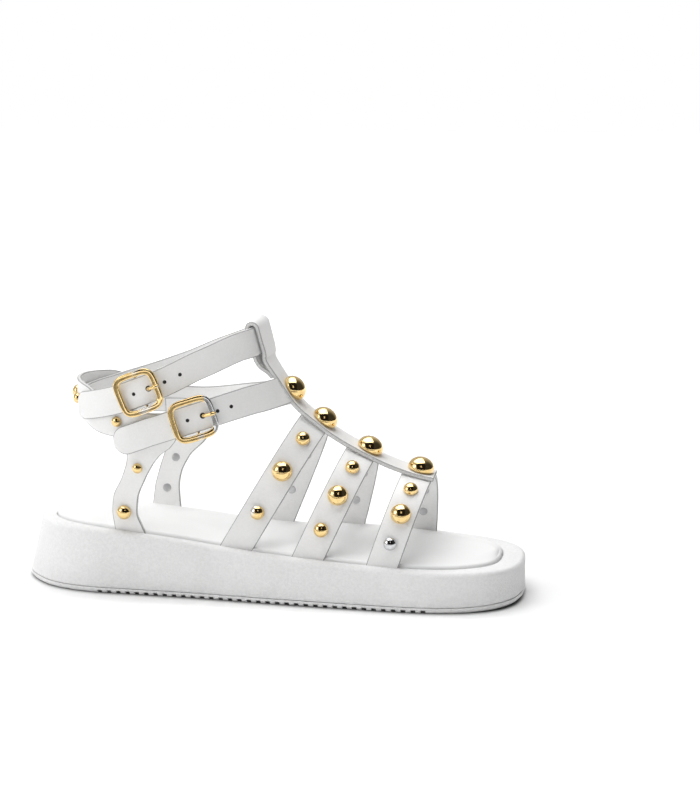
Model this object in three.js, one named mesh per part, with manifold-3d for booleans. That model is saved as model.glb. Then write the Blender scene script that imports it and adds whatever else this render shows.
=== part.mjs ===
// Flatform sandal, right shoe, standing empty on its sole.
// Millimetres. +X runs from heel to toe, +Y to the inner side of the foot, +Z up.
// The group's origin lies on the floor under the middle of the shoe.
import * as THREE from 'three';
import * as BufferGeometryUtils from 'three/addons/utils/BufferGeometryUtils.js';
import Module from 'manifold-3d';

const wasm = await Module();
wasm.setup();

// Sole
const soleLength = 250;
const ballOuter = 39.4;
const ballInner = 41.4;
const heelHeight = 32;
const toeHeight = 19.3;
const outsoleThickness = 2.4;
const toeSpring = 1.7;
const heelLean = 6.4;
const soleEdgeRadius = 2.2;
const outsoleStep = 0.5;
const treadPitch = 4.7;
const treadDepth = 1.5;

// Insole and the rim around it
const rimSide = 5;
const rimHeel = 7.5;
const rimToe = 10;
const recessDepth = 2.6;
const padRise = 1.4;
const padCrown = 1.6;

// Straps
const leather = 2;
const barWidth = 16.5;
const bandWidth = 14.8;
const ankleStrapWidth = 13.7;
const upperCrossing = 123.5;
const crossingDrop = 25.2;
const liningLength = 17;
const liningWidth = 14.4;
const ankleHalfWidth = 31.4;
const heelPieceHeight = 18;
const legWidth = 12.6;
const holeDiameter = 2.2;
const holeSpacing = 7.5;
const holeCount = 5;

// Metal
const domeDiameter = 12;
const studWide = 9.5;
const studSmall = 7;
const studTiny = 5;
const studRise = 0.41;
const buckleLength = 22;
const buckleHeight = 21;
const buckleWire = 2.7;
const buckleThick = 1.9;
const prongDiameter = 1.7;

// Fits
const gap = 0.3;
const loopEase = 0.6;
const overlap = 0.4;

const metalGold = { color: 0xd8a840, roughness: 0.16, metalness: 1 };
const metalSilver = { color: 0xc9ccd0, roughness: 0.16, metalness: 1 };
const whiteLeather = { color: 0xf4f3f1, roughness: 0.5, metalness: 0 };
const whiteFoam = { color: 0xf1f1f0, roughness: 0.8, metalness: 0 };

const vec = (x, y, z) => new THREE.Vector3(x, y, z);
const mix = THREE.MathUtils.lerp;
const clamp = THREE.MathUtils.clamp;
const radians = THREE.MathUtils.degToRad;

// Smooth value of one column of a table, without overshoot between its rows.
function column(rows, at, name) {
  const step = (i) => (rows[i + 1][name] - rows[i][name]) / (rows[i + 1][at] - rows[i][at]);
  const slope = rows.map((row, i) => {
    if (i === 0) return step(0);
    if (i === rows.length - 1) return step(i - 1);
    const before = step(i - 1);
    const after = step(i);
    return before * after <= 0 ? 0 : (2 * before * after) / (before + after);
  });
  return (value) => {
    let i = 0;
    while (i < rows.length - 2 && value > rows[i + 1][at]) i += 1;
    const span = rows[i + 1][at] - rows[i][at];
    const t = clamp((value - rows[i][at]) / span, 0, 1);
    const t2 = t * t;
    const t3 = t2 * t;
    return (
      (2 * t3 - 3 * t2 + 1) * rows[i][name] + (t3 - 2 * t2 + t) * span * slope[i] +
      (3 * t2 - 2 * t3) * rows[i + 1][name] + (t3 - t2) * span * slope[i + 1]
    );
  };
}

// A closed mesh from rings of equal point counts, with the caps given as triangles of ring points.
function loftGeometry(rings, capTriangles) {
  const count = rings[0].length;
  const positions = rings.flat().flatMap((point) => [point.x, point.y, point.z]);
  const index = [];
  for (let r = 0; r < rings.length - 1; r += 1) {
    for (let i = 0; i < count; i += 1) {
      const a = r * count + i;
      const b = r * count + ((i + 1) % count);
      index.push(a, b, b + count, a, b + count, a + count);
    }
  }
  const last = (rings.length - 1) * count;
  for (const [a, b, c] of capTriangles) {
    index.push(a, c, b, last + a, last + b, last + c);
  }
  const geometry = new THREE.BufferGeometry();
  geometry.setAttribute('position', new THREE.Float32BufferAttribute(positions, 3));
  geometry.setIndex(index);
  return facingOut(geometry);
}

// Turns a closed mesh the right way round.
function facingOut(geometry) {
  const index = geometry.getIndex().array;
  const at = (i) => new THREE.Vector3().fromBufferAttribute(geometry.getAttribute('position'), index[i]);
  let volume = 0;
  for (let i = 0; i < index.length; i += 3) {
    volume += at(i).dot(at(i + 1).cross(at(i + 2)));
  }
  if (volume < 0) {
    for (let i = 0; i < index.length; i += 3) {
      [index[i + 1], index[i + 2]] = [index[i + 2], index[i + 1]];
    }
  }
  return geometry;
}

function solidOf(geometry) {
  const plain = geometry.clone();
  plain.deleteAttribute('normal');
  plain.deleteAttribute('uv');
  const merged = BufferGeometryUtils.mergeVertices(plain, 1e-4);
  return new wasm.Manifold(new wasm.Mesh({
    numProp: 3,
    vertProperties: new Float32Array(merged.getAttribute('position').array),
    triVerts: new Uint32Array(merged.getIndex().array),
  }));
}

function geometryOf(solid) {
  const mesh = solid.getMesh();
  const geometry = new THREE.BufferGeometry();
  geometry.setAttribute('position', new THREE.Float32BufferAttribute(mesh.vertProperties, 3));
  geometry.setIndex([...mesh.triVerts]);
  return geometry;
}

function joined(solids) {
  return solids.reduce((sum, next) => sum.add(next));
}

// Sole: plan outline, heights and rim, by share of the length from the heel

const outlineRows = [
  { along: 0.0, outer: 0.73, inner: 0.74 },
  { along: 0.08, outer: 0.84, inner: 0.74 },
  { along: 0.2, outer: 0.83, inner: 0.7 },
  { along: 0.38, outer: 0.865, inner: 0.695 },
  { along: 0.52, outer: 0.93, inner: 0.725 },
  { along: 0.66, outer: 0.975, inner: 1.0 },
  { along: 0.78, outer: 1.0, inner: 1.0 },
  { along: 0.9, outer: 0.99, inner: 0.925 },
  { along: 1.0, outer: 0.98, inner: 0.87 },
];
const heightRows = [
  { along: 0.0, rise: 0.91 },
  { along: 0.12, rise: 1.0 },
  { along: 0.3, rise: 0.775 },
  { along: 0.5, rise: 0.372 },
  { along: 0.7, rise: 0.13 },
  { along: 0.88, rise: 0.0 },
  { along: 1.0, rise: 0.0 },
];
const heelRound = { reach: 0.2, power: 2 };
const toeRound = { reach: 0.25, power: 2.8 };
const springStart = 0.86;
const leanEnd = 0.25;
const soleStations = 30;
const treadFrom = 0.18;
const treadTo = 0.83;

const outerShare = column(outlineRows, 'along', 'outer');
const innerShare = column(outlineRows, 'along', 'inner');
const riseShare = column(heightRows, 'along', 'rise');

function endRound(share) {
  const one = (end, from) => {
    const t = clamp(from / end.reach, 0, 1);
    return (1 - (1 - t) ** end.power) ** (1 / end.power);
  };
  return one(heelRound, share) * one(toeRound, 1 - share);
}

// Half width of the sole on one side, -1 for the outer side and 1 for the inner.
function halfWidth(share, side) {
  const full = side < 0 ? outerShare(share) * ballOuter : innerShare(share) * ballInner;
  return full * endRound(share);
}

const soleTop = (x) => mix(toeHeight, heelHeight, riseShare(clamp(x / soleLength, 0, 1)));
const soleLift = (x) => toeSpring * clamp((x / soleLength - springStart) / (1 - springStart), 0, 1) ** 2;
const rimWidth = (x) => {
  const heel = clamp(1 - x / (soleLength * heelRound.reach), 0, 1);
  const toe = clamp(1 - (soleLength - x) / (soleLength * toeRound.reach), 0, 1);
  return rimSide + (rimHeel - rimSide) * heel + (rimToe - rimSide) * toe;
};

// Plan outline: outer side from heel to toe, then inner side back to the heel.
function outline() {
  const share = (i) => (1 - Math.cos((Math.PI * i) / soleStations)) / 2;
  const points = [];
  for (let i = 0; i <= soleStations; i += 1) {
    points.push(vec(share(i) * soleLength, -halfWidth(share(i), -1), 0));
  }
  for (let i = soleStations - 1; i > 0; i -= 1) {
    points.push(vec(share(i) * soleLength, halfWidth(share(i), 1), 0));
  }
  return points;
}

const plan = outline();
const planNormals = plan.map((point, i) => {
  const next = plan[(i + 1) % plan.length];
  const last = plan[(i + plan.length - 1) % plan.length];
  const along = next.clone().sub(last);
  return vec(along.y, -along.x, 0).normalize();
});
const planCaps = [];
for (let i = 0; i < soleStations; i += 1) {
  const other = (k) => (plan.length - k) % plan.length;
  if (i > 0) planCaps.push([i, i + 1, other(i)]);
  if (i < soleStations - 1) planCaps.push([i + 1, other(i + 1), other(i)]);
}

// One ring of the sole: the outline moved in, leaned forward at the heel, at a height.
function soleRing(inset, height, lean) {
  return plan.map((point, i) => {
    const depth = typeof inset === 'function' ? inset(point.x) : inset;
    const moved = point.clone().addScaledVector(planNormals[i], -depth);
    moved.x += heelLean * lean * clamp(1 - point.x / (soleLength * leanEnd), 0, 1);
    moved.z = height(moved.x);
    return moved;
  });
}

function makeOutsole() {
  const top = (x) => soleLift(x) + outsoleThickness;
  const body = solidOf(loftGeometry([
    soleRing(outsoleThickness / 2, soleLift, 0),
    soleRing(0, (x) => soleLift(x) + outsoleThickness / 2, 0),
    soleRing(0, top, 0),
  ], planCaps));
  const cuts = [];
  const across = 3 * Math.max(ballOuter, ballInner);
  for (let x = treadFrom * soleLength; x < treadTo * soleLength; x += treadPitch) {
    const groove = new THREE.BoxGeometry(treadPitch / 2, across, 2 * treadDepth);
    groove.translate(x, 0, 0);
    cuts.push(solidOf(groove));
  }
  return cuts.reduce((rest, cut) => rest.subtract(cut), body);
}

const rimInset = (x) => outsoleStep + rimWidth(x);
const midsoleBase = (x) => soleLift(x) + outsoleThickness + gap;
const recessFloor = (x) => soleTop(x) - recessDepth;

function makeMidsole() {
  const round = (degrees) => ({
    inset: outsoleStep + soleEdgeRadius * (1 - Math.cos(radians(degrees))),
    drop: soleEdgeRadius * (1 - Math.sin(radians(degrees))),
  });
  const rings = [soleRing(outsoleStep, midsoleBase, 0)];
  for (const degrees of [0, 45, 90]) {
    const { inset, drop } = round(degrees);
    rings.push(soleRing(inset, (x) => soleTop(x) - drop, 1));
  }
  rings.push(soleRing(rimInset, soleTop, 1));
  rings.push(soleRing((x) => rimInset(x) + 2 * gap, recessFloor, 1));
  return solidOf(loftGeometry(rings, planCaps));
}

function makeInsole() {
  const inset = (more) => (x) => rimInset(x) + 3 * gap + more;
  const crown = (share) => (x) => soleTop(x) + padRise + padCrown * share;
  return solidOf(loftGeometry([
    soleRing(inset(0), (x) => recessFloor(x) + gap, 1),
    soleRing(inset(0), soleTop, 1),
    soleRing(inset(padRise), crown(0), 1),
    soleRing(inset(4 * padRise), crown(0.6), 1),
    soleRing(inset(9 * padRise), crown(1), 1),
  ], planCaps));
}

// Ribbons: a strap is a section of leather carried along a path of frames

// A frame has a place, the way along the strap, across it, and out from the foot.
function frameAt(place, along, acrossHint) {
  const across = acrossHint.clone().addScaledVector(along, -acrossHint.dot(along)).normalize();
  return { place, along, across, out: across.clone().cross(along) };
}

const boxCap = [[0, 1, 2], [0, 2, 3]];

// A strap's solid, with its width and wall given along it.
function ribbon(frames, width, wall) {
  const rings = frames.map((frame) => {
    const half = width(frame.u) / 2;
    const corner = (across, out) => frame.place.clone()
      .addScaledVector(frame.across, across * half)
      .addScaledVector(frame.out, (out * wall) / 2);
    return [corner(-1, -1), corner(1, -1), corner(1, 1), corner(-1, 1)];
  });
  return solidOf(loftGeometry(rings, boxCap));
}

// Width that closes to a round tip at the end of a strap.
function roundTip(full, length, u) {
  const left = ((1 - u) * length) / (full / 2);
  return full * Math.sqrt(Math.max(1 - (1 - Math.min(left, 1)) ** 2, 0.04));
}

// T bar: its outer face by share of the sole's length and of the upper crossing's height

const barRows = [
  { along: 0.822, height: 0.47 },
  { along: 0.788, height: 0.484 },
  { along: 0.736, height: 0.518 },
  { along: 0.682, height: 0.568 },
  { along: 0.628, height: 0.629 },
  { along: 0.592, height: 0.683 },
  { along: 0.57, height: 0.718 },
  { along: 0.554, height: 0.749 },
  { along: 0.5375, height: 0.795 },
  { along: 0.523, height: 0.843 },
  { along: 0.51, height: 0.883 },
  { along: 0.5, height: 0.919 },
  { along: 0.498, height: 0.951 },
  { along: 0.492, height: 1.0 },
];
const barDrift = { toe: 1, ankle: -1.5 };
const barTwist = 7;
const barSteps = 22;
const foldDegrees = [0, 36, 72, 108, 144, 180];
const liningSteps = 8;
const barSide = (x) => {
  const back = barRows[barRows.length - 1].along;
  const front = barRows[0].along;
  const share = clamp((x / soleLength - back) / (front - back), 0, 1);
  return mix(barDrift.ankle, barDrift.toe, Math.sqrt(share));
};
const barPoint = (x, z) => vec(x, barSide(x), z);
const barFace = new THREE.CatmullRomCurve3(
  barRows.map((row) => barPoint(row.along * soleLength, row.height * upperCrossing)),
);

// The bar's way across, turned a little to the outer side of the foot at the ankle.
function acrossBar(u) {
  const twist = radians(barTwist) * clamp(4 * u - 3, 0, 1);
  return vec(Math.sin(twist), Math.cos(twist), 0);
}

function barFrameAt(u) {
  return { u, ...frameAt(barFace.getPointAt(u), barFace.getTangentAt(u), acrossBar(u)) };
}

// The frame on the T bar's outer face at a height or at a distance along the shoe.
function barFrame(coordinate, value) {
  let low = 0;
  let high = 1;
  const rising = coordinate === 'z';
  for (let i = 0; i < 40; i += 1) {
    const middle = (low + high) / 2;
    if (barFace.getPointAt(middle)[coordinate] < value === rising) low = middle;
    else high = middle;
  }
  return barFrameAt(low);
}

const upperCross = barFrameAt(1);
const lowerCross = barFrame('z', upperCrossing - crossingDrop);

// Depths below the bar's face: of what is sewn to its back, of the strap in its loop, and of the
// loop's inner wall.
const sewnDepth = leather + leather / 2 - overlap;
const loopDepth = leather + gap + leather / 2;
const liningDepth = loopDepth + leather + gap + loopEase;

function inward(frame, depth) {
  return frame.place.clone().addScaledVector(frame.out, -depth);
}

// The T bar runs up its face, folds over the upper ankle strap and is sewn to its own back below.
function makeBar() {
  const frames = [];
  const place = (frame, depth) => frames.push({ ...frame, place: inward(frame, depth) });
  for (let i = 0; i <= barSteps; i += 1) place(barFrameAt(i / barSteps), leather / 2);
  const foldRadius = (liningDepth - leather / 2) / 2;
  const foldCentre = inward(upperCross, leather / 2 + foldRadius)
    .addScaledVector(upperCross.along, ankleStrapWidth / 2 + 2 * gap - leather / 2);
  for (const degrees of foldDegrees) {
    const away = upperCross.out.clone().multiplyScalar(Math.cos(radians(degrees)))
      .addScaledVector(upperCross.along, Math.sin(radians(degrees)));
    const point = foldCentre.clone().addScaledVector(away, foldRadius);
    const along = away.clone().cross(upperCross.across);
    frames.push({ ...frameAt(point, along, upperCross.across) });
  }
  const lining = 2;
  const loopFoot = upperCrossing - ankleStrapWidth / 2 - 2 * gap;
  const liningEnd = upperCrossing - liningLength;
  for (let i = 1; i <= liningSteps; i += 1) {
    const height = mix(upperCrossing, liningEnd, i / liningSteps);
    const sewn = THREE.MathUtils.smoothstep(-height, -loopFoot, -liningEnd - 1);
    const frame = barFrame('z', height);
    frames.push({
      ...frame,
      u: lining,
      place: inward(frame, mix(liningDepth, sewnDepth, sewn)),
      along: frame.along.clone().negate(),
      out: frame.out.clone().negate(),
    });
  }
  return ribbon(frames, (u) => (u === lining ? liningWidth : barWidth), leather);
}

// Instep bands: from the sole's outer rim, up over the foot under the T bar, to the inner rim.
// top, outer and inner are the places of the band's middle, by share of the sole's length.
const bands = [
  { name: 'rear', top: 0.592, outer: 0.447, inner: 0.487 },
  { name: 'middle', top: 0.682, outer: 0.59, inner: 0.629 },
  { name: 'toe', top: 0.79, outer: 0.735, inner: 0.779 },
];
const archPower = 2.3;
const bandSteps = 24;
const rootLength = 6;

const bandFoot = (x) => soleTop(x) - recessDepth + gap;

// A point of a band at an angle over the foot: -90 at the outer rim, 0 on top, 90 at the inner rim.
function bandPoint(band, degrees) {
  const side = degrees < 0 ? -1 : 1;
  const crest = barFrame('x', band.top * soleLength);
  const top = inward(crest, sewnDepth);
  const footX = (side < 0 ? band.outer : band.inner) * soleLength;
  const footY = side * (halfWidth(footX / soleLength, side) - outsoleStep - rimSide - leather / 2);
  const power = 2 / archPower;
  const up = Math.max(Math.cos(radians(degrees)), 0) ** power;
  const sideways = Math.abs(Math.sin(radians(degrees))) ** power;
  return vec(
    mix(footX, top.x, up),
    mix(top.y, footY, sideways),
    mix(bandFoot(footX), top.z, up),
  );
}

function bandAcross(band, degrees) {
  const along = barFrame('x', band.top * soleLength).along.clone().negate();
  return along.lerp(vec(1, 0, 0), Math.abs(degrees) / 90).normalize();
}

function bandFrame(band, degrees) {
  const nudge = 0.5;
  const before = bandPoint(band, Math.max(degrees - nudge, -90));
  const after = bandPoint(band, Math.min(degrees + nudge, 90));
  return frameAt(bandPoint(band, degrees), after.sub(before).normalize(), bandAcross(band, degrees));
}

function makeBand(band, spare) {
  const frames = [];
  const add = (degrees, sink) => {
    const frame = bandFrame(band, degrees);
    frame.place.addScaledVector(frame.along, sink);
    frames.push({ u: 0, ...frame });
  };
  add(-90, -rootLength);
  for (let i = 0; i <= bandSteps; i += 1) add(mix(-90, 90, i / bandSteps), 0);
  add(90, rootLength);
  return ribbon(frames, () => bandWidth + 2 * spare, leather + 2 * spare);
}

// All that lies below the recess's floor, raised a little.
function belowFloor(rise) {
  const wide = -2 * rimToe;
  return solidOf(loftGeometry([
    soleRing(wide, () => -heelHeight, 1),
    soleRing(wide, (x) => recessFloor(x) + rise, 1),
  ], planCaps));
}

// Ankle straps: turn is the angle round the ankle, 0 at the front and -90 on the outer side.
// A strap starts under its buckle, goes round the heel and the front, and ends in its tail.
// height is a share of the crossing's height, width of the strap's, layer counts walls outward.
const ankle = { along: 0.293, side: -1 };
const upperRows = [
  { turn: -100.5, height: 0.803, width: 0.88, layer: 0 },
  { turn: -120, height: 0.772, width: 1, layer: 0 },
  { turn: -150, height: 0.745, width: 1, layer: 0 },
  { turn: -180, height: 0.735, width: 1, layer: 0 },
  { turn: -210, height: 0.745, width: 1, layer: 0 },
  { turn: -240, height: 0.776, width: 1, layer: 0 },
  { turn: -270, height: 0.832, width: 1, layer: 0 },
  { turn: -300, height: 0.915, width: 1, layer: 0 },
  { turn: -330, height: 0.979, width: 1, layer: 0 },
  { turn: -360, height: 1.0, width: 1, layer: 0 },
  { turn: -390, height: 0.993, width: 1, layer: 0 },
  { turn: -420, height: 0.933, width: 1, layer: 0.2 },
  { turn: -445, height: 0.857, width: 1, layer: 1.5 },
  { turn: -456, height: 0.826, width: 1, layer: 2.15 },
  { turn: -470, height: 0.791, width: 1, layer: 2.2 },
  { turn: -490, height: 0.758, width: 1, layer: 2.1 },
  { turn: -506, height: 0.739, width: 1, layer: 2.2 },
];
const lowerRows = [
  { turn: -74, height: 0.891, width: 0.88, layer: 1 },
  { turn: -90, height: 0.872, width: 0.95, layer: 1 },
  { turn: -112, height: 0.888, width: 1.14, layer: 1 },
  { turn: -126, height: 0.906, width: 1.25, layer: 1 },
  { turn: -145, height: 0.953, width: 1.3, layer: 1 },
  { turn: -180, height: 0.966, width: 1.32, layer: 1 },
  { turn: -215, height: 0.953, width: 1.3, layer: 1 },
  { turn: -234, height: 0.906, width: 1.25, layer: 1 },
  { turn: -248, height: 0.888, width: 1.14, layer: 1 },
  { turn: -275, height: 0.872, width: 1, layer: 1 },
  { turn: -310, height: 0.925, width: 1, layer: 0.3 },
  { turn: -340, height: 0.982, width: 1, layer: 0 },
  { turn: -360, height: 1.0, width: 1, layer: 0 },
  { turn: -380, height: 1.017, width: 1, layer: 0 },
  { turn: -400, height: 1.0, width: 1, layer: 0.5 },
  { turn: -412, height: 0.978, width: 1, layer: 1.3 },
  { turn: -424, height: 0.945, width: 1, layer: 2 },
  { turn: -436, height: 0.904, width: 1, layer: 2.2 },
  { turn: -450, height: 0.851, width: 1, layer: 2.2 },
  { turn: -472, height: 0.778, width: 1, layer: 2.2 },
];
const layerStep = leather + gap;
const frontFlat = 30;
const upperSteps = 62;
const lowerSteps = 72;
const tipShare = 0.02;
const tipParts = [0, 0.5, 0.8, 0.94, 1];

// An ankle strap: its point and its frame at any angle round the ankle, counted backwards.
function ankleStrap(rows, cross, depth) {
  const centreX = ankle.along * soleLength;
  const front = inward(cross, depth);
  const table = rows.map((row) => ({ ...row, at: -row.turn }));
  const height = column(table, 'at', 'height');
  const widthShare = column(table, 'at', 'width');
  const layer = column(table, 'at', 'layer');
  const crossTurn = Math.asin((front.y - ankle.side) / ankleHalfWidth);
  const frontReach = (front.x - centreX) / Math.cos(crossTurn);
  const heelReach = centreX - heelInside - leather / 2;
  const point = (at) => {
    const turn = radians(-at);
    const reach = Math.cos(turn) > 0 ? frontReach : heelReach;
    const outward = layerStep * layer(at);
    const place = vec(
      centreX + (reach + outward) * Math.cos(turn),
      ankle.side + (ankleHalfWidth + outward) * Math.sin(turn),
      front.z * height(at),
    );
    const flat = vec(cross.out.x, cross.out.y, 0).normalize();
    const off = Math.atan2(Math.sin(turn - crossTurn), Math.cos(turn - crossTurn));
    const pull = Math.exp(-((off / radians(frontFlat)) ** 2));
    const short = flat.dot(vec(front.x - place.x, front.y - place.y, 0));
    return place.addScaledVector(flat, short * pull);
  };
  const frame = (at) => {
    const nudge = 0.5;
    const lean = Math.max(Math.cos(radians(at)), 0) ** 2;
    const up = vec(0, 0, 1).lerp(cross.along, lean).normalize();
    return frameAt(point(at), point(at + nudge).sub(point(at - nudge)).normalize(), up);
  };
  // The side of the ankle at a distance along the shoe, on the first layer out.
  const wallSide = (x, side) => {
    const reach = (x < centreX ? heelReach : frontReach) + layerStep;
    return ankle.side + side * (ankleHalfWidth + layerStep) *
      Math.sqrt(Math.max(1 - ((x - centreX) / reach) ** 2, 0));
  };
  // The angle reached by going a length on along the strap.
  const onward = (at, length) => at + length / point(at + 0.5).distanceTo(point(at - 0.5));
  const [first, last] = [table[0].at, table[table.length - 1].at];
  return { start: first, end: last, widthShare, frame, point, wallSide, onward };
}

// Heel piece: inside face at the heel, and its legs down to the sole
const heelInsideShare = 0.121;
const heelFullWidth = 1.32;
const legHeadTurn = 108;
const legHeadDrop = 0.012;
const legRoot = 0.1;
const legBow = 0.8;
const heelInside = heelInsideShare * soleLength;
const legRows = [
  { drop: 0.0, outer: 0.29, outerWidth: 2.15, inner: 0.31, innerWidth: 2.4 },
  { drop: 0.1, outer: 0.29, outerWidth: 2.1, inner: 0.311, innerWidth: 2.35 },
  { drop: 0.19, outer: 0.286, outerWidth: 1.77, inner: 0.309, innerWidth: 2.2 },
  { drop: 0.26, outer: 0.276, outerWidth: 1.35, inner: 0.304, innerWidth: 1.95 },
  { drop: 0.365, outer: 0.2645, outerWidth: 1.05, inner: 0.296, innerWidth: 1.58 },
  { drop: 0.5, outer: 0.25, outerWidth: 0.95, inner: 0.278, innerWidth: 1.08 },
  { drop: 0.66, outer: 0.2335, outerWidth: 1.0, inner: 0.264, innerWidth: 0.95 },
  { drop: 0.8, outer: 0.23, outerWidth: 1.0, inner: 0.259, innerWidth: 1.03 },
  { drop: 0.9, outer: 0.235, outerWidth: 1.1, inner: 0.259, innerWidth: 1.12 },
  { drop: 1.0, outer: 0.242, outerWidth: 1.22, inner: 0.259, innerWidth: 1.25 },
];
const legSteps = 12;
const legColumns = 4;

const upperStrap = ankleStrap(upperRows, upperCross, loopDepth);
const lowerStrap = ankleStrap(lowerRows, lowerCross, sewnDepth);

// The middle of a leg's wall, from the heel band at drop 0 down into the sole at drop 1.
// across runs from -1 at its rear edge to 1 at its front edge.
function legPoint(side, drop, across) {
  const word = side < 0 ? 'outer' : 'inner';
  const middle = column(legRows, 'drop', word)(drop) * soleLength;
  const half = (column(legRows, 'drop', `${word}Width`)(drop) * legWidth) / 2;
  const x = middle + across * half;
  const foot = side * (halfWidth(x / soleLength, side) - outsoleStep - rimSide - leather / 2);
  const head = lowerStrap.point(side < 0 ? legHeadTurn : 360 - legHeadTurn).z;
  return vec(
    x,
    mix(lowerStrap.wallSide(x, side), foot, Math.min(drop, 1) ** legBow),
    mix(head, bandFoot(middle), drop),
  );
}

function legFrame(side, drop, across = 0) {
  const nudge = 0.01;
  const from = side < 0 ? nudge : -nudge;
  const along = legPoint(side, drop - from, across).sub(legPoint(side, drop + from, across)).normalize();
  const forward = legPoint(side, drop, across + nudge).sub(legPoint(side, drop, across - nudge));
  return frameAt(legPoint(side, drop, across), along, forward);
}

// A leg is a sheet that follows the ankle above and the sole's edge below.
function makeLeg(side, spare) {
  const rings = [];
  for (let i = 0; i <= legSteps; i += 1) {
    const drop = mix(legHeadDrop, 1 + legRoot, i / legSteps);
    const outer = [];
    const inner = [];
    for (let k = 0; k <= legColumns; k += 1) {
      const across = mix(-1, 1, k / legColumns);
      const frame = legFrame(side, drop, across);
      const place = frame.place.addScaledVector(frame.across, across * spare);
      outer.push(place.clone().addScaledVector(frame.out, leather / 2 + spare));
      inner.unshift(place.clone().addScaledVector(frame.out, -leather / 2 - spare));
    }
    rings.push([...outer, ...inner]);
  }
  const caps = [];
  const last = 2 * legColumns + 1;
  for (let k = 0; k < legColumns; k += 1) {
    caps.push([k, k + 1, last - k], [k + 1, last - k - 1, last - k]);
  }
  return solidOf(loftGeometry(rings, caps));
}

function strapRibbon(strap, wide, steps) {
  const shares = [];
  for (let i = 0; i < steps; i += 1) shares.push(((1 - tipShare) * i) / steps);
  for (const part of tipParts) shares.push(1 - tipShare * (1 - part));
  const frames = shares.map((u) => ({ u, ...strap.frame(mix(strap.start, strap.end, u)) }));
  const length = frames.slice(1).reduce((sum, f, i) => sum + f.place.distanceTo(frames[i].place), 0);
  const width = (u) => {
    const share = strap.widthShare(mix(strap.start, strap.end, u));
    return Math.min(wide(share), roundTip(wide(share), length, u));
  };
  return ribbon(frames, width, leather);
}

// A round hole through a strap at a frame.
function strapHole(frame, diameter) {
  const hole = new THREE.CylinderGeometry(diameter / 2, diameter / 2, 3 * leather, holeSides);
  hole.applyMatrix4(frameMatrix(frame));
  return solidOf(hole);
}

// Stands a shape made along +Y on a frame, its Y along the frame's way out.
function frameMatrix(frame) {
  const matrix = new THREE.Matrix4().makeBasis(frame.across, frame.out, frame.across.clone().cross(frame.out));
  return matrix.setPosition(frame.place);
}

// Where the buckles' pins stand, as angles round the ankle, and how far ahead the prong's hole is.
const upperBuckleAt = 455.3;
const lowerBuckleAt = 430.8;
const prongHole = 4.7;
const holeSides = 10;

// Holes through a strap, a row of them with one at the prong.
function withHoles(solid, strap, buckleAt) {
  let rest = solid;
  const used = Math.floor(holeCount / 2);
  for (let i = 0; i < holeCount; i += 1) {
    const at = strap.onward(buckleAt, -prongHole - holeSpacing * (i - used));
    const diameter = i === used ? prongDiameter + 4 * gap : holeDiameter;
    rest = rest.subtract(strapHole(strap.frame(at), diameter));
  }
  return rest;
}

function makeUpper() {
  const heelShare = (share) => (share > 1
    ? ankleStrapWidth + ((heelPieceHeight - ankleStrapWidth) * (share - 1)) / (heelFullWidth - 1)
    : ankleStrapWidth * share);
  const lower = withHoles(strapRibbon(lowerStrap, heelShare, lowerSteps), lowerStrap, lowerBuckleAt);
  const footed = joined([
    ...bands.map((band) => makeBand(band, 0)),
    makeLeg(-1, 0),
    makeLeg(1, 0),
  ]);
  return joined([footed.subtract(belowFloor(gap)), makeBar(), lower]);
}

function makeUpperStrap() {
  const plain = strapRibbon(upperStrap, (share) => ankleStrapWidth * share, upperSteps);
  return withHoles(plain, upperStrap, upperBuckleAt);
}

// Slots in the sole and insole for all that goes down into them
function strapSlots() {
  return joined([
    ...bands.map((band) => makeBand(band, gap)),
    makeLeg(-1, gap),
    makeLeg(1, gap),
  ]).subtract(belowFloor(0));
}

// Metal parts

// A domed stud on a flat foot, standing along +Y.
function studGeometry(diameter, height, sides) {
  const radius = diameter / 2;
  const profile = [
    new THREE.Vector2(0, 0),
    new THREE.Vector2(radius * 0.72, 0),
    new THREE.Vector2(radius, height * 0.22),
  ];
  for (const degrees of [28, 56]) {
    profile.push(new THREE.Vector2(
      radius * Math.cos(radians(degrees)),
      height * (0.22 + 0.78 * Math.sin(radians(degrees))),
    ));
  }
  profile.push(new THREE.Vector2(0, height));
  return new THREE.LatheGeometry(profile, sides);
}

const buckleRise = leather / 2 + gap + buckleThick / 2;
const hoopPoints = 24;
const hoopSides = 7;
const squareness = 3.4;

// The wire's path: a square with bowed sides, seen from outside, with its middle on the strap.
function bucklePath() {
  const points = [];
  for (let i = 0; i < hoopPoints; i += 1) {
    const angle = (2 * Math.PI * (i + 0.5)) / hoopPoints;
    const power = 2 / squareness;
    const along = Math.sign(Math.cos(angle)) * Math.abs(Math.cos(angle)) ** power;
    const up = Math.sign(Math.sin(angle)) * Math.abs(Math.sin(angle)) ** power;
    points.push(vec(
      (up * (buckleHeight - buckleWire)) / 2,
      buckleRise,
      (along * (buckleLength - buckleWire)) / 2,
    ));
  }
  return points;
}

// Wire closed on itself, with an oval section that is thinner in the buckle's own height.
function hoopGeometry(points, sides) {
  const rings = points.map((point, i) => {
    const next = points[(i + 1) % points.length];
    const last = points[(i + points.length - 1) % points.length];
    const side = next.clone().sub(last).normalize().cross(vec(0, 1, 0));
    const ring = [];
    for (let k = 0; k < sides; k += 1) {
      const angle = (2 * Math.PI * k) / sides;
      ring.push(point.clone()
        .addScaledVector(side, (buckleWire / 2) * Math.cos(angle))
        .add(vec(0, (buckleThick / 2) * Math.sin(angle), 0)));
    }
    return ring;
  });
  return loftGeometry([...rings, rings[0]], []);
}

function fan(count) {
  const triangles = [];
  for (let i = 1; i < count - 1; i += 1) triangles.push([0, i, i + 1]);
  return triangles;
}

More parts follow.
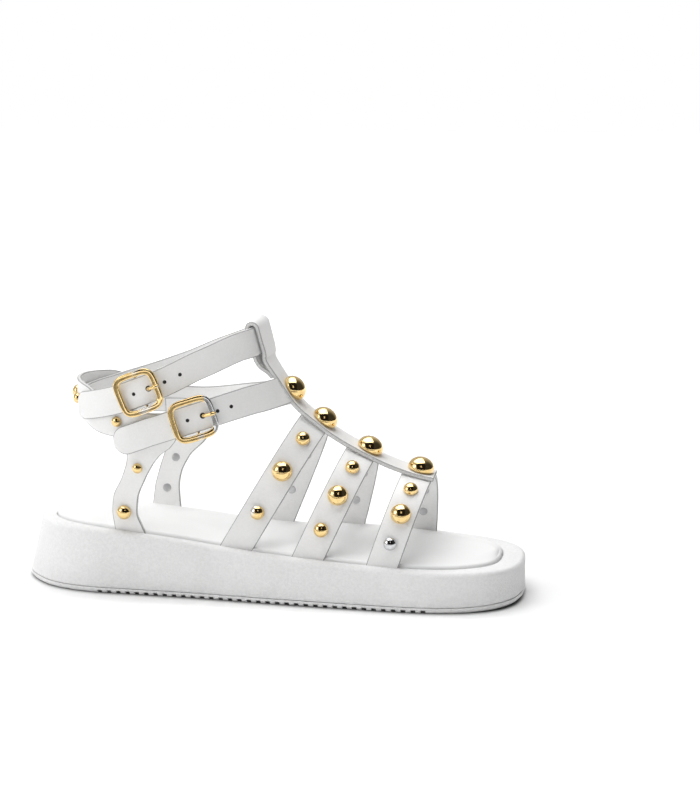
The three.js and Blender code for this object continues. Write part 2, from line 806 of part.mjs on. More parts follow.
// Round wire through a row of points.
function wireGeometry(points, radii, sides) {
  const rings = points.map((point, i) => {
    const next = points[Math.min(i + 1, points.length - 1)];
    const last = points[Math.max(i - 1, 0)];
    const along = next.clone().sub(last).normalize();
    const side = Math.abs(along.x) > 0.7 ? vec(0, 0, 1) : vec(1, 0, 0);
    side.addScaledVector(along, -side.dot(along)).normalize();
    const rise = side.clone().cross(along);
    const ring = [];
    for (let k = 0; k < sides; k += 1) {
      const angle = (2 * Math.PI * k) / sides;
      ring.push(point.clone()
        .addScaledVector(side, radii[i] * Math.cos(angle))
        .addScaledVector(rise, radii[i] * Math.sin(angle)));
    }
    return ring;
  });
  return loftGeometry(rings, fan(sides));
}

const pinRadius = prongDiameter * 0.44;
const pinBend = 1.2;
const pinSides = 6;
const prongSides = 8;
const pinDepth = leather / 2 + 1.6 * gap + pinRadius;

// A square wire frame, with a pin across its middle that dips under the outer strap.
function makeBuckle() {
  const hoop = solidOf(hoopGeometry(bucklePath(), hoopSides));
  const edge = (buckleHeight - buckleWire) / 2;
  const points = [
    vec(-edge, buckleRise, 0), vec(-edge, -pinDepth / 2, 0), vec(-edge + pinBend, -pinDepth, 0),
    vec(edge - pinBend, -pinDepth, 0), vec(edge, -pinDepth / 2, 0), vec(edge, buckleRise, 0),
  ];
  const rings = points.map((point) => {
    const ring = [];
    const flat = Math.abs(point.x) === edge ? 1 : 0;
    for (let k = 0; k < pinSides; k += 1) {
      const angle = (2 * Math.PI * k) / pinSides;
      ring.push(point.clone().add(vec(
        -flat * pinRadius * Math.sin(angle) * Math.sign(point.x),
        (1 - flat) * pinRadius * Math.sin(angle),
        pinRadius * Math.cos(angle),
      )));
    }
    return ring;
  });
  return hoop.add(solidOf(loftGeometry(rings, fan(pinSides))));
}

// The prong starts beside the pin, rises through the strap's hole and lies over the frame's front.
function makeProng() {
  const radius = prongDiameter / 2;
  const below = -(leather / 2 + gap + radius);
  const bar = buckleLength / 2 - buckleWire / 2;
  const tip = buckleRise + buckleThick / 2 + gap + radius;
  const points = [
    vec(0, below, pinRadius + gap + radius / 2),
    vec(0, below, prongHole - 1.3 * radius),
    vec(0, 0, prongHole),
    vec(0, leather * 0.75, prongHole + radius / 2),
    vec(0, tip * 0.84, mix(prongHole, bar, 0.62)),
    vec(0, tip, bar),
    vec(0, tip - radius / 4, bar + buckleWire * 0.75),
  ];
  const radii = points.map((point, i) => radius * (i === points.length - 1 ? 0.55 : 0.95));
  return wireGeometry(points, radii, prongSides);
}

// Assembly

const sandal = new THREE.Group();
const shoe = new THREE.Group();
sandal.add(shoe);

function addPiece(name, geometry, finish, matrix) {
  const mesh = new THREE.Mesh(geometry, new THREE.MeshStandardMaterial(finish));
  mesh.name = name;
  if (matrix) mesh.applyMatrix4(matrix);
  shoe.add(mesh);
}

const slots = strapSlots();
addPiece('outsole', geometryOf(makeOutsole()), whiteFoam);
addPiece('midsole', geometryOf(makeMidsole().subtract(slots)), whiteFoam);
addPiece('insole', geometryOf(makeInsole().subtract(slots)), whiteLeather);
addPiece('upper', geometryOf(makeUpper()), whiteLeather);
addPiece('ankle_strap_upper', geometryOf(makeUpperStrap()), whiteLeather);

const buckles = [
  { name: 'upper', strap: upperStrap, at: upperBuckleAt },
  { name: 'lower', strap: lowerStrap, at: lowerBuckleAt },
];
for (const buckle of buckles) {
  const frame = frameMatrix(buckle.strap.frame(buckle.at));
  addPiece(`buckle_frame_${buckle.name}`, geometryOf(makeBuckle()), metalGold, frame);
  addPiece(`buckle_prong_${buckle.name}`, makeProng(), metalGold, frame);
}

// A stud's foot stands a gap above the leather's outer face.
function addStud(name, frame, diameter, finish, depth) {
  const seat = { ...frame, place: frame.place.clone().addScaledVector(frame.out, depth + gap) };
  addPiece(name, studGeometry(diameter, diameter * studRise, diameter > studSmall ? 12 : 9), finish,
    frameMatrix(seat));
}

const domePlaces = [0.539, 0.601, 0.691, 0.792];
domePlaces.forEach((share, i) => {
  addStud(`dome_${i + 1}`, barFrame('x', share * soleLength), domeDiameter, metalGold, 0);
});

const bandStuds = [
  { place: 'high', degrees: 28, size: studSmall },
  { place: 'middle', degrees: 51.5, size: studWide },
  { place: 'low', degrees: 73.4, size: studSmall },
];
for (const band of bands) {
  for (const side of [-1, 1]) {
    for (const stud of bandStuds) {
      const silver = band.name === 'toe' && side < 0 && stud.place === 'low';
      const name = `stud_${band.name}_${side < 0 ? 'outer' : 'inner'}_${stud.place}`;
      addStud(name, bandFrame(band, side * stud.degrees), silver ? studSmall * 0.9 : stud.size,
        silver ? metalSilver : metalGold, leather / 2);
    }
  }
}

const heelStuds = [
  { name: 'outer_wall', at: 112, size: studTiny },
  { name: 'outer_back', at: 157, size: studTiny },
  { name: 'back', at: 180, size: studSmall },
  { name: 'inner_back', at: 203, size: studTiny },
  { name: 'inner_wall', at: 246, size: studTiny },
];
// Under the upper strap's tail a stud sits low enough to clear it.
for (const stud of heelStuds) {
  const frame = lowerStrap.frame(stud.at);
  const underTail = stud.at + 360 < upperStrap.end;
  const tailEdge = upperStrap.frame(stud.at + 360).place.z - ankleStrapWidth / 2;
  const drop = underTail ? Math.max(0, frame.place.z + stud.size / 2 + gap - tailEdge) : 0;
  const lowered = { ...frame, place: frame.place.clone().addScaledVector(frame.across, -drop) };
  addStud(`stud_heel_${stud.name}`, lowered, stud.size, metalGold, leather / 2);
}
for (const side of [-1, 1]) {
  const word = side < 0 ? 'outer' : 'inner';
  addStud(`stud_leg_${word}_high`, legFrame(side, side < 0 ? 0.385 : 0.52), studTiny, metalGold, leather / 2);
  addStud(`stud_leg_${word}_low`, legFrame(side, 0.79), studSmall, metalGold, leather / 2);
}

// The origin is under the middle of the whole shoe, with its buckles.
const whole = new THREE.Box3().setFromObject(shoe);
shoe.position.set(-(whole.min.x + whole.max.x) / 2, -(whole.min.y + whole.max.y) / 2, 0);

export default sandal;
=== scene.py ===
"""Flatform sandal, right shoe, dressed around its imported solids.

Places are worked out in millimetres in the shoe's own frame, whose origin is at the back of the heel
on the floor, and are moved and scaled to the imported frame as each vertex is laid.
"""

from __future__ import annotations

import logging
import math
from dataclasses import dataclass, field
from enum import Enum
from typing import Any, Callable, Sequence

import bpy
from mathutils import Matrix, Vector

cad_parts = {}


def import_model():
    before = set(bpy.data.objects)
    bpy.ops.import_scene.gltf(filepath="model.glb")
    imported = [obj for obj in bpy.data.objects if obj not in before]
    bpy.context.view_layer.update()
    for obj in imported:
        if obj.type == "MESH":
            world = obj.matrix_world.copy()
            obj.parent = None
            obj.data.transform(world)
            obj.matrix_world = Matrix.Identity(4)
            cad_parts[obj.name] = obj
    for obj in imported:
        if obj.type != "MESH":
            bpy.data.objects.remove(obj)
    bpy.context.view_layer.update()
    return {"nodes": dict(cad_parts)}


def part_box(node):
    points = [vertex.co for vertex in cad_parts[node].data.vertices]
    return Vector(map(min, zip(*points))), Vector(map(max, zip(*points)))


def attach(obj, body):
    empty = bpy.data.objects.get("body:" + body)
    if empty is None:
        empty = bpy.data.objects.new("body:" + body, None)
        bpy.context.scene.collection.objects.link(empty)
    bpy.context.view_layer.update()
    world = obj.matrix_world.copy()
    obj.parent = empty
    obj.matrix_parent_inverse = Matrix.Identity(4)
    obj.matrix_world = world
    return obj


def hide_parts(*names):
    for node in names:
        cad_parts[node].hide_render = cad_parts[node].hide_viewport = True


LOG = logging.getLogger("sandal")
MM = 0.001
BODY = "root"

Rows = Sequence[Sequence[float]]
LidHeight = Callable[[float, float, float], float]


class Slot(Enum):
    """Material slots of the record that pieces are given; nothing in the script reads them."""

    LEATHER = "white_leather"
    INSOLE = "insole_leather"
    FOAM = "foam"
    GOLD = "gold_metal"
    SILVER = "silver_metal"


class Side(Enum):
    """The two sides of the foot."""

    OUTER = -1
    INNER = 1

    @property
    def word(self) -> str:
        """The side's name in lower case."""
        return self.name.lower()


# Shared maths


def mix(low: float, high: float, share: float) -> float:
    """Value between low and high."""
    return low + (high - low) * share


def clamp(value: float, low: float = 0.0, high: float = 1.0) -> float:
    """Value kept between low and high."""
    return max(low, min(high, value))


def smoothstep(value: float, low: float, high: float) -> float:
    """Eased share of the way from low to high."""
    share = clamp((value - low) / (high - low))
    return share * share * (3 - 2 * share)


def bell(value: float, middle: float, width: float) -> float:
    """Bell curve of height 1 about a middle."""
    return math.exp(-(((value - middle) / width) ** 2))


def heading(azimuth: float, rise: float) -> Vector:
    """Unit way at a turn from the shoe's outer side and a rise over the floor, both in degrees."""
    turn, lift = math.radians(azimuth), math.radians(rise)
    return Vector((math.sin(turn) * math.cos(lift), -math.cos(turn) * math.cos(lift), math.sin(lift)))


class Column:
    """Smooth value of one column of a table, without overshoot between its rows."""

    def __init__(self, rows: Rows, column: int) -> None:
        """Works out the slopes.

        Args:
            rows: The table, with the place in its first column.
            column: The column to follow.
        """
        self.at = [row[0] for row in rows]
        self.values = [row[column] for row in rows]
        steps = [
            (self.values[i + 1] - self.values[i]) / (self.at[i + 1] - self.at[i])
            for i in range(len(rows) - 1)
        ]
        self.slopes = [steps[0]]
        for before, after in zip(steps, steps[1:]):
            same_way = before * after > 0
            self.slopes.append(2 * before * after / (before + after) if same_way else 0.0)
        self.slopes.append(steps[-1])

    def __call__(self, value: float) -> float:
        """The column's value at a place.

        Args:
            value: The place, in the units of the first column.

        Returns:
            The smooth value there.
        """
        i = 0
        while i < len(self.at) - 2 and value > self.at[i + 1]:
            i += 1
        span = self.at[i + 1] - self.at[i]
        t = clamp((value - self.at[i]) / span)
        t2, t3 = t * t, t * t * t
        return (
            (2 * t3 - 3 * t2 + 1) * self.values[i]
            + (t3 - 2 * t2 + t) * span * self.slopes[i]
            + (3 * t2 - 2 * t3) * self.values[i + 1]
            + (t3 - t2) * span * self.slopes[i + 1]
        )


def smooth_path(points: Sequence[Vector], steps: int) -> list[Vector]:
    """A smooth path through points, as a centripetal curve.

    Args:
        points: The points it passes through.
        steps: Number of steps from each point to the next.

    Returns:
        The path's points.
    """
    knots = [points[0] * 2 - points[1], *points, points[-1] * 2 - points[-2]]
    path = []
    for i in range(len(points) - 1):
        a, b, c, d = knots[i : i + 4]
        before, here, after = (math.sqrt((q - p).length) for p, q in ((a, b), (b, c), (c, d)))
        start = ((b - a) / before - (c - a) / (before + here) + (c - b) / here) * here
        end = ((c - b) / here - (d - b) / (here + after) + (d - c) / after) * here
        cubic = b * 2 - c * 2 + start + end
        square = c * 3 - b * 3 - start * 2 - end
        for k in range(steps):
            share = k / steps
            path.append(((cubic * share + square) * share + start) * share + b)
    return [*path, points[-1]]


@dataclass
class Stand:
    """A place on a strap with its three ways: along it, across it and out from the foot."""

    place: Vector
    along: Vector
    across: Vector
    out: Vector

    def moved(self, out: float = 0.0, along: float = 0.0, across: float = 0.0) -> Stand:
        """The same ways at a place moved by millimetres."""
        place = self.place + self.out * out + self.along * along + self.across * across
        return Stand(place, self.along, self.across, self.out)

    def matrix(self) -> Matrix:
        """Stands a shape made along +Z on the place, with its Z along the way out."""
        side = self.out.cross(self.across).normalized()
        return Matrix.Translation(self.place) @ Matrix((self.across, side, self.out)).transposed().to_4x4()


def stand_at(place: Vector, along: Vector, hint: Vector) -> Stand:
    """A stand whose way across is the hint, squared to the way along."""
    across = (hint - along * hint.dot(along)).normalized()
    return Stand(place, along, across, across.cross(along))


Path = Sequence[tuple[Stand, float]]


# Shapes of the shoe


@dataclass
class Sole:
    """Plan outline, heights and rim of the sole.

    The outline's rows hold the share of the length, and the outer and inner half width as shares of the
    ball's. The heights' rows hold the share of the length and of the rise from toe to heel height.
    """

    length: float = 250.0
    ball_outer: float = 39.4
    ball_inner: float = 41.4
    heel_height: float = 32.0
    toe_height: float = 19.3
    outsole: float = 2.4
    toe_spring: float = 1.7
    heel_lean: float = 6.4
    edge_radius: float = 2.2
    outsole_step: float = 0.5
    rim_side: float = 5.0
    rim_heel: float = 7.5
    rim_toe: float = 10.0
    recess: float = 2.6
    gap: float = 0.3
    heel_reach: float = 0.2
    toe_reach: float = 0.25
    heel_power: float = 2.0
    toe_power: float = 2.8
    spring_start: float = 0.86
    lean_end: float = 0.25
    outline_rows: Rows = (
        (0.0, 0.73, 0.74), (0.08, 0.84, 0.74), (0.2, 0.83, 0.7), (0.38, 0.865, 0.695),
        (0.52, 0.93, 0.725), (0.66, 0.975, 1.0), (0.78, 1.0, 1.0), (0.9, 0.99, 0.925),
        (1.0, 0.98, 0.87),
    )
    height_rows: Rows = (
        (0.0, 0.91), (0.12, 1.0), (0.3, 0.775), (0.5, 0.372), (0.7, 0.13), (0.88, 0.0), (1.0, 0.0),
    )

    def __post_init__(self) -> None:
        """Prepares the tables' columns."""
        self.outer_share = Column(self.outline_rows, 1)
        self.inner_share = Column(self.outline_rows, 2)
        self.rise_share = Column(self.height_rows, 1)

    def half_width(self, share: float, side: Side) -> float:
        """Half width of the sole on one side, in millimetres.

        Args:
            share: The place, as a share of the length from the heel.
            side: The side of the foot.

        Returns:
            The distance from the axis to the outline.
        """
        heel = (1 - (1 - clamp(share / self.heel_reach)) ** self.heel_power) ** (1 / self.heel_power)
        toe = (1 - (1 - clamp((1 - share) / self.toe_reach)) ** self.toe_power) ** (1 / self.toe_power)
        full = (
            self.outer_share(share) * self.ball_outer
            if side is Side.OUTER
            else self.inner_share(share) * self.ball_inner
        )
        return full * heel * toe

    def top(self, x: float) -> float:
        """Height of the foam's top at a distance from the heel."""
        return mix(self.toe_height, self.heel_height, self.rise_share(clamp(x / self.length)))

    def lift(self, x: float) -> float:
        """Height of the underside at a distance from the heel."""
        share = clamp((x / self.length - self.spring_start) / (1 - self.spring_start))
        return self.toe_spring * share**2

    def rim(self, x: float) -> float:
        """Width of the flat rim round the insole, with the outsole's step.

        Args:
            x: Distance from the heel.

        Returns:
            The width in millimetres, from the outsole's outline inwards.
        """
        heel = clamp(1 - x / (self.length * self.heel_reach))
        toe = clamp(1 - (self.length - x) / (self.length * self.toe_reach))
        width = self.rim_side + (self.rim_heel - self.rim_side) * heel + (self.rim_toe - self.rim_side) * toe
        return width + self.outsole_step

    def strap_foot(self, x: float, side: Side, wall: float) -> float:
        """Signed distance from the axis of a strap's middle where it enters the sole."""
        half = self.half_width(x / self.length, side)
        return side.value * (half - self.outsole_step - self.rim_side - wall / 2)

    def outline(self, stations: int) -> list[tuple[Vector, Vector]]:
        """Plan outline with its normals.

        Args:
            stations: Number of steps along each side.

        Returns:
            Points and outward normals, outer side from heel to toe and back along the inner side.
        """
        shares = [(1 - math.cos(math.pi * i / stations)) / 2 for i in range(stations + 1)]
        points = [Vector((s * self.length, -self.half_width(s, Side.OUTER), 0)) for s in shares]
        points += [
            Vector((s * self.length, self.half_width(s, Side.INNER), 0)) for s in reversed(shares[1:-1])
        ]
        result = []
        for i, point in enumerate(points):
            way = points[(i + 1) % len(points)] - points[i - 1]
            result.append((point, Vector((way.y, -way.x, 0)).normalized()))
        return result

    def leaned(self, point: Vector, lean: float) -> Vector:
        """A plan point moved forward at the heel, as the foam leans in there."""
        share = clamp(1 - point.x / (self.length * self.lean_end))
        return Vector((point.x + self.heel_lean * lean * share, point.y, point.z))


@dataclass
class Bar:
    """Outer face of the T bar, from the toes up to the upper ankle strap.

    Its rows hold the place as a share of the sole's length, and the height as a share of the crossing's.
    """

    sole: Sole
    width: float = 16.5
    crossing: float = 123.5
    crossing_drop: float = 25.2
    drift_toe: float = 1.0
    drift_ankle: float = -1.5
    twist: float = 7.0
    twist_from: float = 0.75
    samples: int = 900
    curve_steps: int = 40
    halvings: int = 40
    window: int = 3
    rows: Rows = (
        (0.822, 0.47), (0.788, 0.484), (0.736, 0.518), (0.682, 0.568), (0.628, 0.629), (0.592, 0.683),
        (0.57, 0.718), (0.554, 0.749), (0.5375, 0.795), (0.523, 0.843), (0.51, 0.883), (0.5, 0.919),
        (0.498, 0.951), (0.492, 1.0),
    )

    def __post_init__(self) -> None:
        """Lays the face's curve and its stands."""
        dense = smooth_path([
            Vector((along * self.sole.length, self._side(along), height * self.crossing))
            for along, height in self.rows
        ], self.curve_steps)
        lengths = [0.0]
        for a, b in zip(dense, dense[1:]):
            lengths.append(lengths[-1] + (b - a).length)
        self.length = lengths[-1]
        self.face = []
        j = 0
        for i in range(self.samples + 1):
            goal = self.length * i / self.samples
            while j < len(dense) - 2 and lengths[j + 1] < goal:
                j += 1
            share = (goal - lengths[j]) / (lengths[j + 1] - lengths[j])
            self.face.append(dense[j].lerp(dense[j + 1], share))

    def _side(self, along: float) -> float:
        """Sideways place of the bar's middle.

        Args:
            along: The place, as a share of the sole's length.

        Returns:
            The place in millimetres.
        """
        back, front = self.rows[-1][0], self.rows[0][0]
        share = clamp((along - back) / (front - back))
        return mix(self.drift_ankle, self.drift_toe, math.sqrt(share))

    def at(self, u: float) -> Stand:
        """Stand on the outer face at a share of its length from the toes.

        Args:
            u: The share.

        Returns:
            The stand.
        """
        spot = clamp(u) * self.samples
        i = min(int(spot), self.samples - 1)
        place = self.face[i].lerp(self.face[i + 1], spot - i)
        low, high = max(i - self.window, 0), min(i + 1 + self.window, self.samples)
        along = (self.face[high] - self.face[low]).normalized()
        twist = math.radians(self.twist) * clamp((u - self.twist_from) / (1 - self.twist_from))
        return stand_at(place, along, Vector((math.sin(twist), math.cos(twist), 0)))

    def where(self, axis: int, value: float) -> float:
        """Share of the face's length where a coordinate has a value.

        Args:
            axis: 0 for the distance along the shoe, 2 for the height.
            value: The coordinate in millimetres.

        Returns:
            The share from the toes.
        """
        low, high = 0.0, 1.0
        for _ in range(self.halvings):
            middle = (low + high) / 2
            before = self.at(middle).place[axis] < value
            if before == (axis == 2):
                low = middle
            else:
                high = middle
        return low


@dataclass
class Leather:
    """Sizes that all leather pieces share."""

    wall: float = 2.0
    gap: float = 0.3
    overlap: float = 0.4
    loop_ease: float = 0.6
    edge_round: float = 0.42

    @property
    def sewn_depth(self) -> float:
        """Depth under the T bar's face of what is sewn to its back."""
        return self.wall * 1.5 - self.overlap

    @property
    def loop_depth(self) -> float:
        """Depth of the strap in the T bar's loop."""
        return self.wall * 1.5 + self.gap

    @property
    def lining_depth(self) -> float:
        """Depth of the loop's inner wall."""
        return self.loop_depth + self.wall + self.gap + self.loop_ease

    @property
    def layer(self) -> float:
        """Step from one layer of straps to the next."""
        return self.wall + self.gap


@dataclass
class AnkleStrap:
    """A strap round the ankle. Its angle is 0 at the front and grows past the outer side.

    Its rows hold angle, height, width and layer. Heights are shares of the crossing's height. The cross is
    the T bar's stand where the strap crosses it, and the depth is that of the strap's middle under it.
    """

    sole: Sole
    leather: Leather
    rows: Rows
    cross: Stand
    depth: float
    centre_share: float = 0.293
    side: float = -1.0
    half_width: float = 31.4
    heel_inside: float = 0.121
    front_flat: float = 30.0
    nudge: float = 0.5

    def __post_init__(self) -> None:
        """Sets out the strap's path."""
        self.start, self.end = self.rows[0][0], self.rows[-1][0]
        self.height, self.width, self.layer = (Column(self.rows, i) for i in (1, 2, 3))
        self.centre = self.centre_share * self.sole.length
        self.front = self.cross.moved(out=-self.depth).place
        self.turn = math.asin((self.front.y - self.side) / self.half_width)
        self.front_reach = (self.front.x - self.centre) / math.cos(self.turn)
        self.heel_reach = self.centre - self.heel_inside * self.sole.length - self.leather.wall / 2

    def point(self, at: float) -> Vector:
        """Middle of the strap at an angle.

        Args:
            at: The angle in degrees.

        Returns:
            The place in millimetres.
        """
        turn = math.radians(-at)
        reach = self.front_reach if math.cos(turn) > 0 else self.heel_reach
        outward = self.leather.layer * self.layer(at)
        place = Vector((
            self.centre + (reach + outward) * math.cos(turn),
            self.side + (self.half_width + outward) * math.sin(turn),
            self.front.z * self.height(at),
        ))
        flat = Vector((self.cross.out.x, self.cross.out.y, 0)).normalized()
        off = math.atan2(math.sin(turn - self.turn), math.cos(turn - self.turn))
        pull = bell(off, 0, math.radians(self.front_flat))
        short = flat.dot(Vector((self.front.x - place.x, self.front.y - place.y, 0)))
        return place + flat * (short * pull)

    def at(self, angle: float) -> Stand:
        """Stand on the strap's middle at an angle.

        Args:
            angle: The angle in degrees.

        Returns:
            The stand.
        """
        lean = max(math.cos(math.radians(angle)), 0) ** 2
        up = Vector((0, 0, 1)).lerp(self.cross.along, lean).normalized()
        along = (self.point(angle + self.nudge) - self.point(angle - self.nudge)).normalized()
        return stand_at(self.point(angle), along, up)

    def onward(self, at: float, length: float) -> float:
        """The angle reached by going a length on along the strap."""
        measured = (self.point(at + self.nudge) - self.point(at - self.nudge)).length
        return at + length / measured * 2 * self.nudge

    def wall_side(self, x: float, side: Side) -> float:
        """Side of the ankle at a distance along the shoe, on the first layer out.

        Args:
            x: Distance from the heel.
            side: The side of the foot.

        Returns:
            The signed distance from the axis.
        """
        reach = (self.heel_reach if x < self.centre else self.front_reach) + self.leather.layer
        bow = math.sqrt(max(1 - ((x - self.centre) / reach) ** 2, 0))
        return self.side + side.value * (self.half_width + self.leather.layer) * bow


@dataclass
class Band:
    """An instep band, from the sole's outer rim over the foot to the inner rim.

    Its top and its two ends are shares of the sole's length.
    """

    name: str
    top: float
    outer: float
    inner: float
    width: float = 14.8
    power: float = 2.3
    nudge: float = 0.5

    def point(self, shoe: Shoe, degrees: float) -> Vector:
        """Middle of the band at an angle over the foot, -90 at the outer rim.

        Args:
            shoe: All the shapes.
            degrees: The angle.

        Returns:
            The place in millimetres.
        """
        side = Side.OUTER if degrees < 0 else Side.INNER
        crest = shoe.bar.at(shoe.bar.where(0, self.top * shoe.sole.length))
        top = crest.moved(out=-shoe.leather.sewn_depth).place
        foot_x = (self.outer if side is Side.OUTER else self.inner) * shoe.sole.length
        foot_y = shoe.sole.strap_foot(foot_x, side, shoe.leather.wall)
        up = max(math.cos(math.radians(degrees)), 0) ** (2 / self.power)
        sideways = abs(math.sin(math.radians(degrees))) ** (2 / self.power)
        foot_z = shoe.sole.top(foot_x) - shoe.sole.recess + shoe.sole.gap
        return Vector((mix(foot_x, top.x, up), mix(top.y, foot_y, sideways), mix(foot_z, top.z, up)))

    def at(self, shoe: Shoe, degrees: float) -> Stand:
        """Stand on the band's middle at an angle over the foot.

        Args:
            shoe: All the shapes.
            degrees: The angle, -90 at the outer rim.

        Returns:
            The stand.
        """
        crest = shoe.bar.at(shoe.bar.where(0, self.top * shoe.sole.length))
        hint = (-crest.along).lerp(Vector((1, 0, 0)), abs(degrees) / 90).normalized()
        before = self.point(shoe, max(degrees - self.nudge, -90))
        after = self.point(shoe, min(degrees + self.nudge, 90))
        return stand_at(self.point(shoe, degrees), (after - before).normalized(), hint)


@dataclass
class Leg:
    """A leg of the heel piece.

    Its rows hold the drop from head to foot, the middle as a share of the sole's length, and the width as
    a share of the leg's.
    """

    side: Side
    rows: Rows
    head_angle: float
    width: float = 12.6
    bow: float = 0.8
    head_drop: float = 0.012
    root: float = 0.05
    nudge: float = 0.01

    def point(self, shoe: Shoe, drop: float, across: float) -> Vector:
        """Middle of the leg's wall.

        Args:
            shoe: All the shapes.
            drop: Share of the way from head to foot.
            across: The place across, -1 at the rear edge.

        Returns:
            The place in millimetres.
        """
        middle = Column(self.rows, 1)(drop) * shoe.sole.length
        x = middle + across * Column(self.rows, 2)(drop) * self.width / 2
        foot = shoe.sole.strap_foot(x, self.side, shoe.leather.wall)
        foot_z = shoe.sole.top(middle) - shoe.sole.recess + shoe.sole.gap
        wall = shoe.lower.wall_side(x, self.side)
        head = shoe.lower.point(self.head_angle).z
        return Vector((x, mix(wall, foot, min(drop, 1) ** self.bow), mix(head, foot_z, drop)))

    def at(self, shoe: Shoe, drop: float, across: float = 0.0) -> Stand:
        """Stand on the leg.

        Args:
            shoe: All the shapes.
            drop: Share of the way from head to foot.
            across: The place across, -1 at the rear edge.

        Returns:
            The stand.
        """
        step = -self.nudge * self.side.value
        along = (self.point(shoe, drop - step, across) - self.point(shoe, drop + step, across)).normalized()
        hint = self.point(shoe, drop, across + self.nudge) - self.point(shoe, drop, across - self.nudge)
        return stand_at(self.point(shoe, drop, across), along, hint)


@dataclass
class Shoe:
    """All the shoe's shapes together."""

    sole: Sole = field(default_factory=Sole)
    leather: Leather = field(default_factory=Leather)
    ankle_width: float = 13.7
    heel_width: float = 18.0
    heel_full: float = 1.32
    upper_buckle: float = 455.3
    lower_buckle: float = 430.8
    prong_hole: float = 4.7
    upper_rows: Rows = (
        (100.5, 0.803, 0.88, 0), (120, 0.772, 1, 0), (150, 0.745, 1, 0), (180, 0.735, 1, 0),
        (210, 0.745, 1, 0), (240, 0.776, 1, 0), (270, 0.832, 1, 0), (300, 0.915, 1, 0),
        (330, 0.979, 1, 0), (360, 1.0, 1, 0), (390, 0.993, 1, 0), (420, 0.933, 1, 0.2),
        (445, 0.857, 1, 1.5), (456, 0.826, 1, 2.15), (470, 0.791, 1, 2.2), (490, 0.758, 1, 2.1),
        (506, 0.739, 1, 2.2),
    )
    lower_rows: Rows = (
        (74, 0.891, 0.88, 1), (90, 0.872, 0.95, 1), (112, 0.888, 1.14, 1), (126, 0.906, 1.25, 1),
        (145, 0.953, 1.3, 1), (180, 0.966, 1.32, 1), (215, 0.953, 1.3, 1), (234, 0.906, 1.25, 1),
        (248, 0.888, 1.14, 1), (275, 0.872, 1, 1), (310, 0.925, 1, 0.3), (340, 0.982, 1, 0),
        (360, 1.0, 1, 0), (380, 1.017, 1, 0), (400, 1.0, 1, 0.5), (412, 0.978, 1, 1.3),
        (424, 0.945, 1, 2), (436, 0.904, 1, 2.2), (450, 0.851, 1, 2.2), (472, 0.778, 1, 2.2),
    )

    def __post_init__(self) -> None:
        """Sets out the bar, the straps, the bands and the legs."""
        self.bar = Bar(self.sole)
        leather = self.leather
        upper_cross = self.bar.at(1.0)
        lower_cross = self.bar.at(self.bar.where(2, self.bar.crossing - self.bar.crossing_drop))
        self.upper = AnkleStrap(self.sole, leather, self.upper_rows, upper_cross, leather.loop_depth)
        self.lower = AnkleStrap(self.sole, leather, self.lower_rows, lower_cross, leather.sewn_depth)
        self.bands = [
            Band("rear", 0.592, 0.447, 0.487),
            Band("middle", 0.682, 0.59, 0.629),
            Band("toe", 0.79, 0.735, 0.779),
        ]
        outer = (
            (0.0, 0.29, 2.15), (0.1, 0.29, 2.1), (0.19, 0.286, 1.77), (0.26, 0.276, 1.35),
            (0.365, 0.2645, 1.05), (0.5, 0.25, 0.95), (0.66, 0.2335, 1.0), (0.8, 0.23, 1.0),
            (0.9, 0.235, 1.1), (1.0, 0.242, 1.22),
        )
        inner = (
            (0.0, 0.31, 2.4), (0.1, 0.311, 2.35), (0.19, 0.309, 2.2), (0.26, 0.304, 1.95),
            (0.365, 0.296, 1.58), (0.5, 0.278, 1.08), (0.66, 0.264, 0.95), (0.8, 0.259, 1.03),
            (0.9, 0.259, 1.12), (1.0, 0.259, 1.25),
        )
        self.legs = [Leg(Side.OUTER, outer, 108), Leg(Side.INNER, inner, 252)]

    def lower_width(self, at: float) -> float:
        """Width of the lower strap and heel piece at an angle.

        Args:
            at: The angle in degrees.

        Returns:
            The width in millimetres.
        """
        share = self.lower.width(at)
        if share > 1:
            return mix(self.ankle_width, self.heel_width, (share - 1) / (self.heel_full - 1))
        return self.ankle_width * share

    def upper_width(self, at: float) -> float:
        """Width of the upper strap at an angle."""
        return self.ankle_width * self.upper.width(at)


# Working with Blender's tools


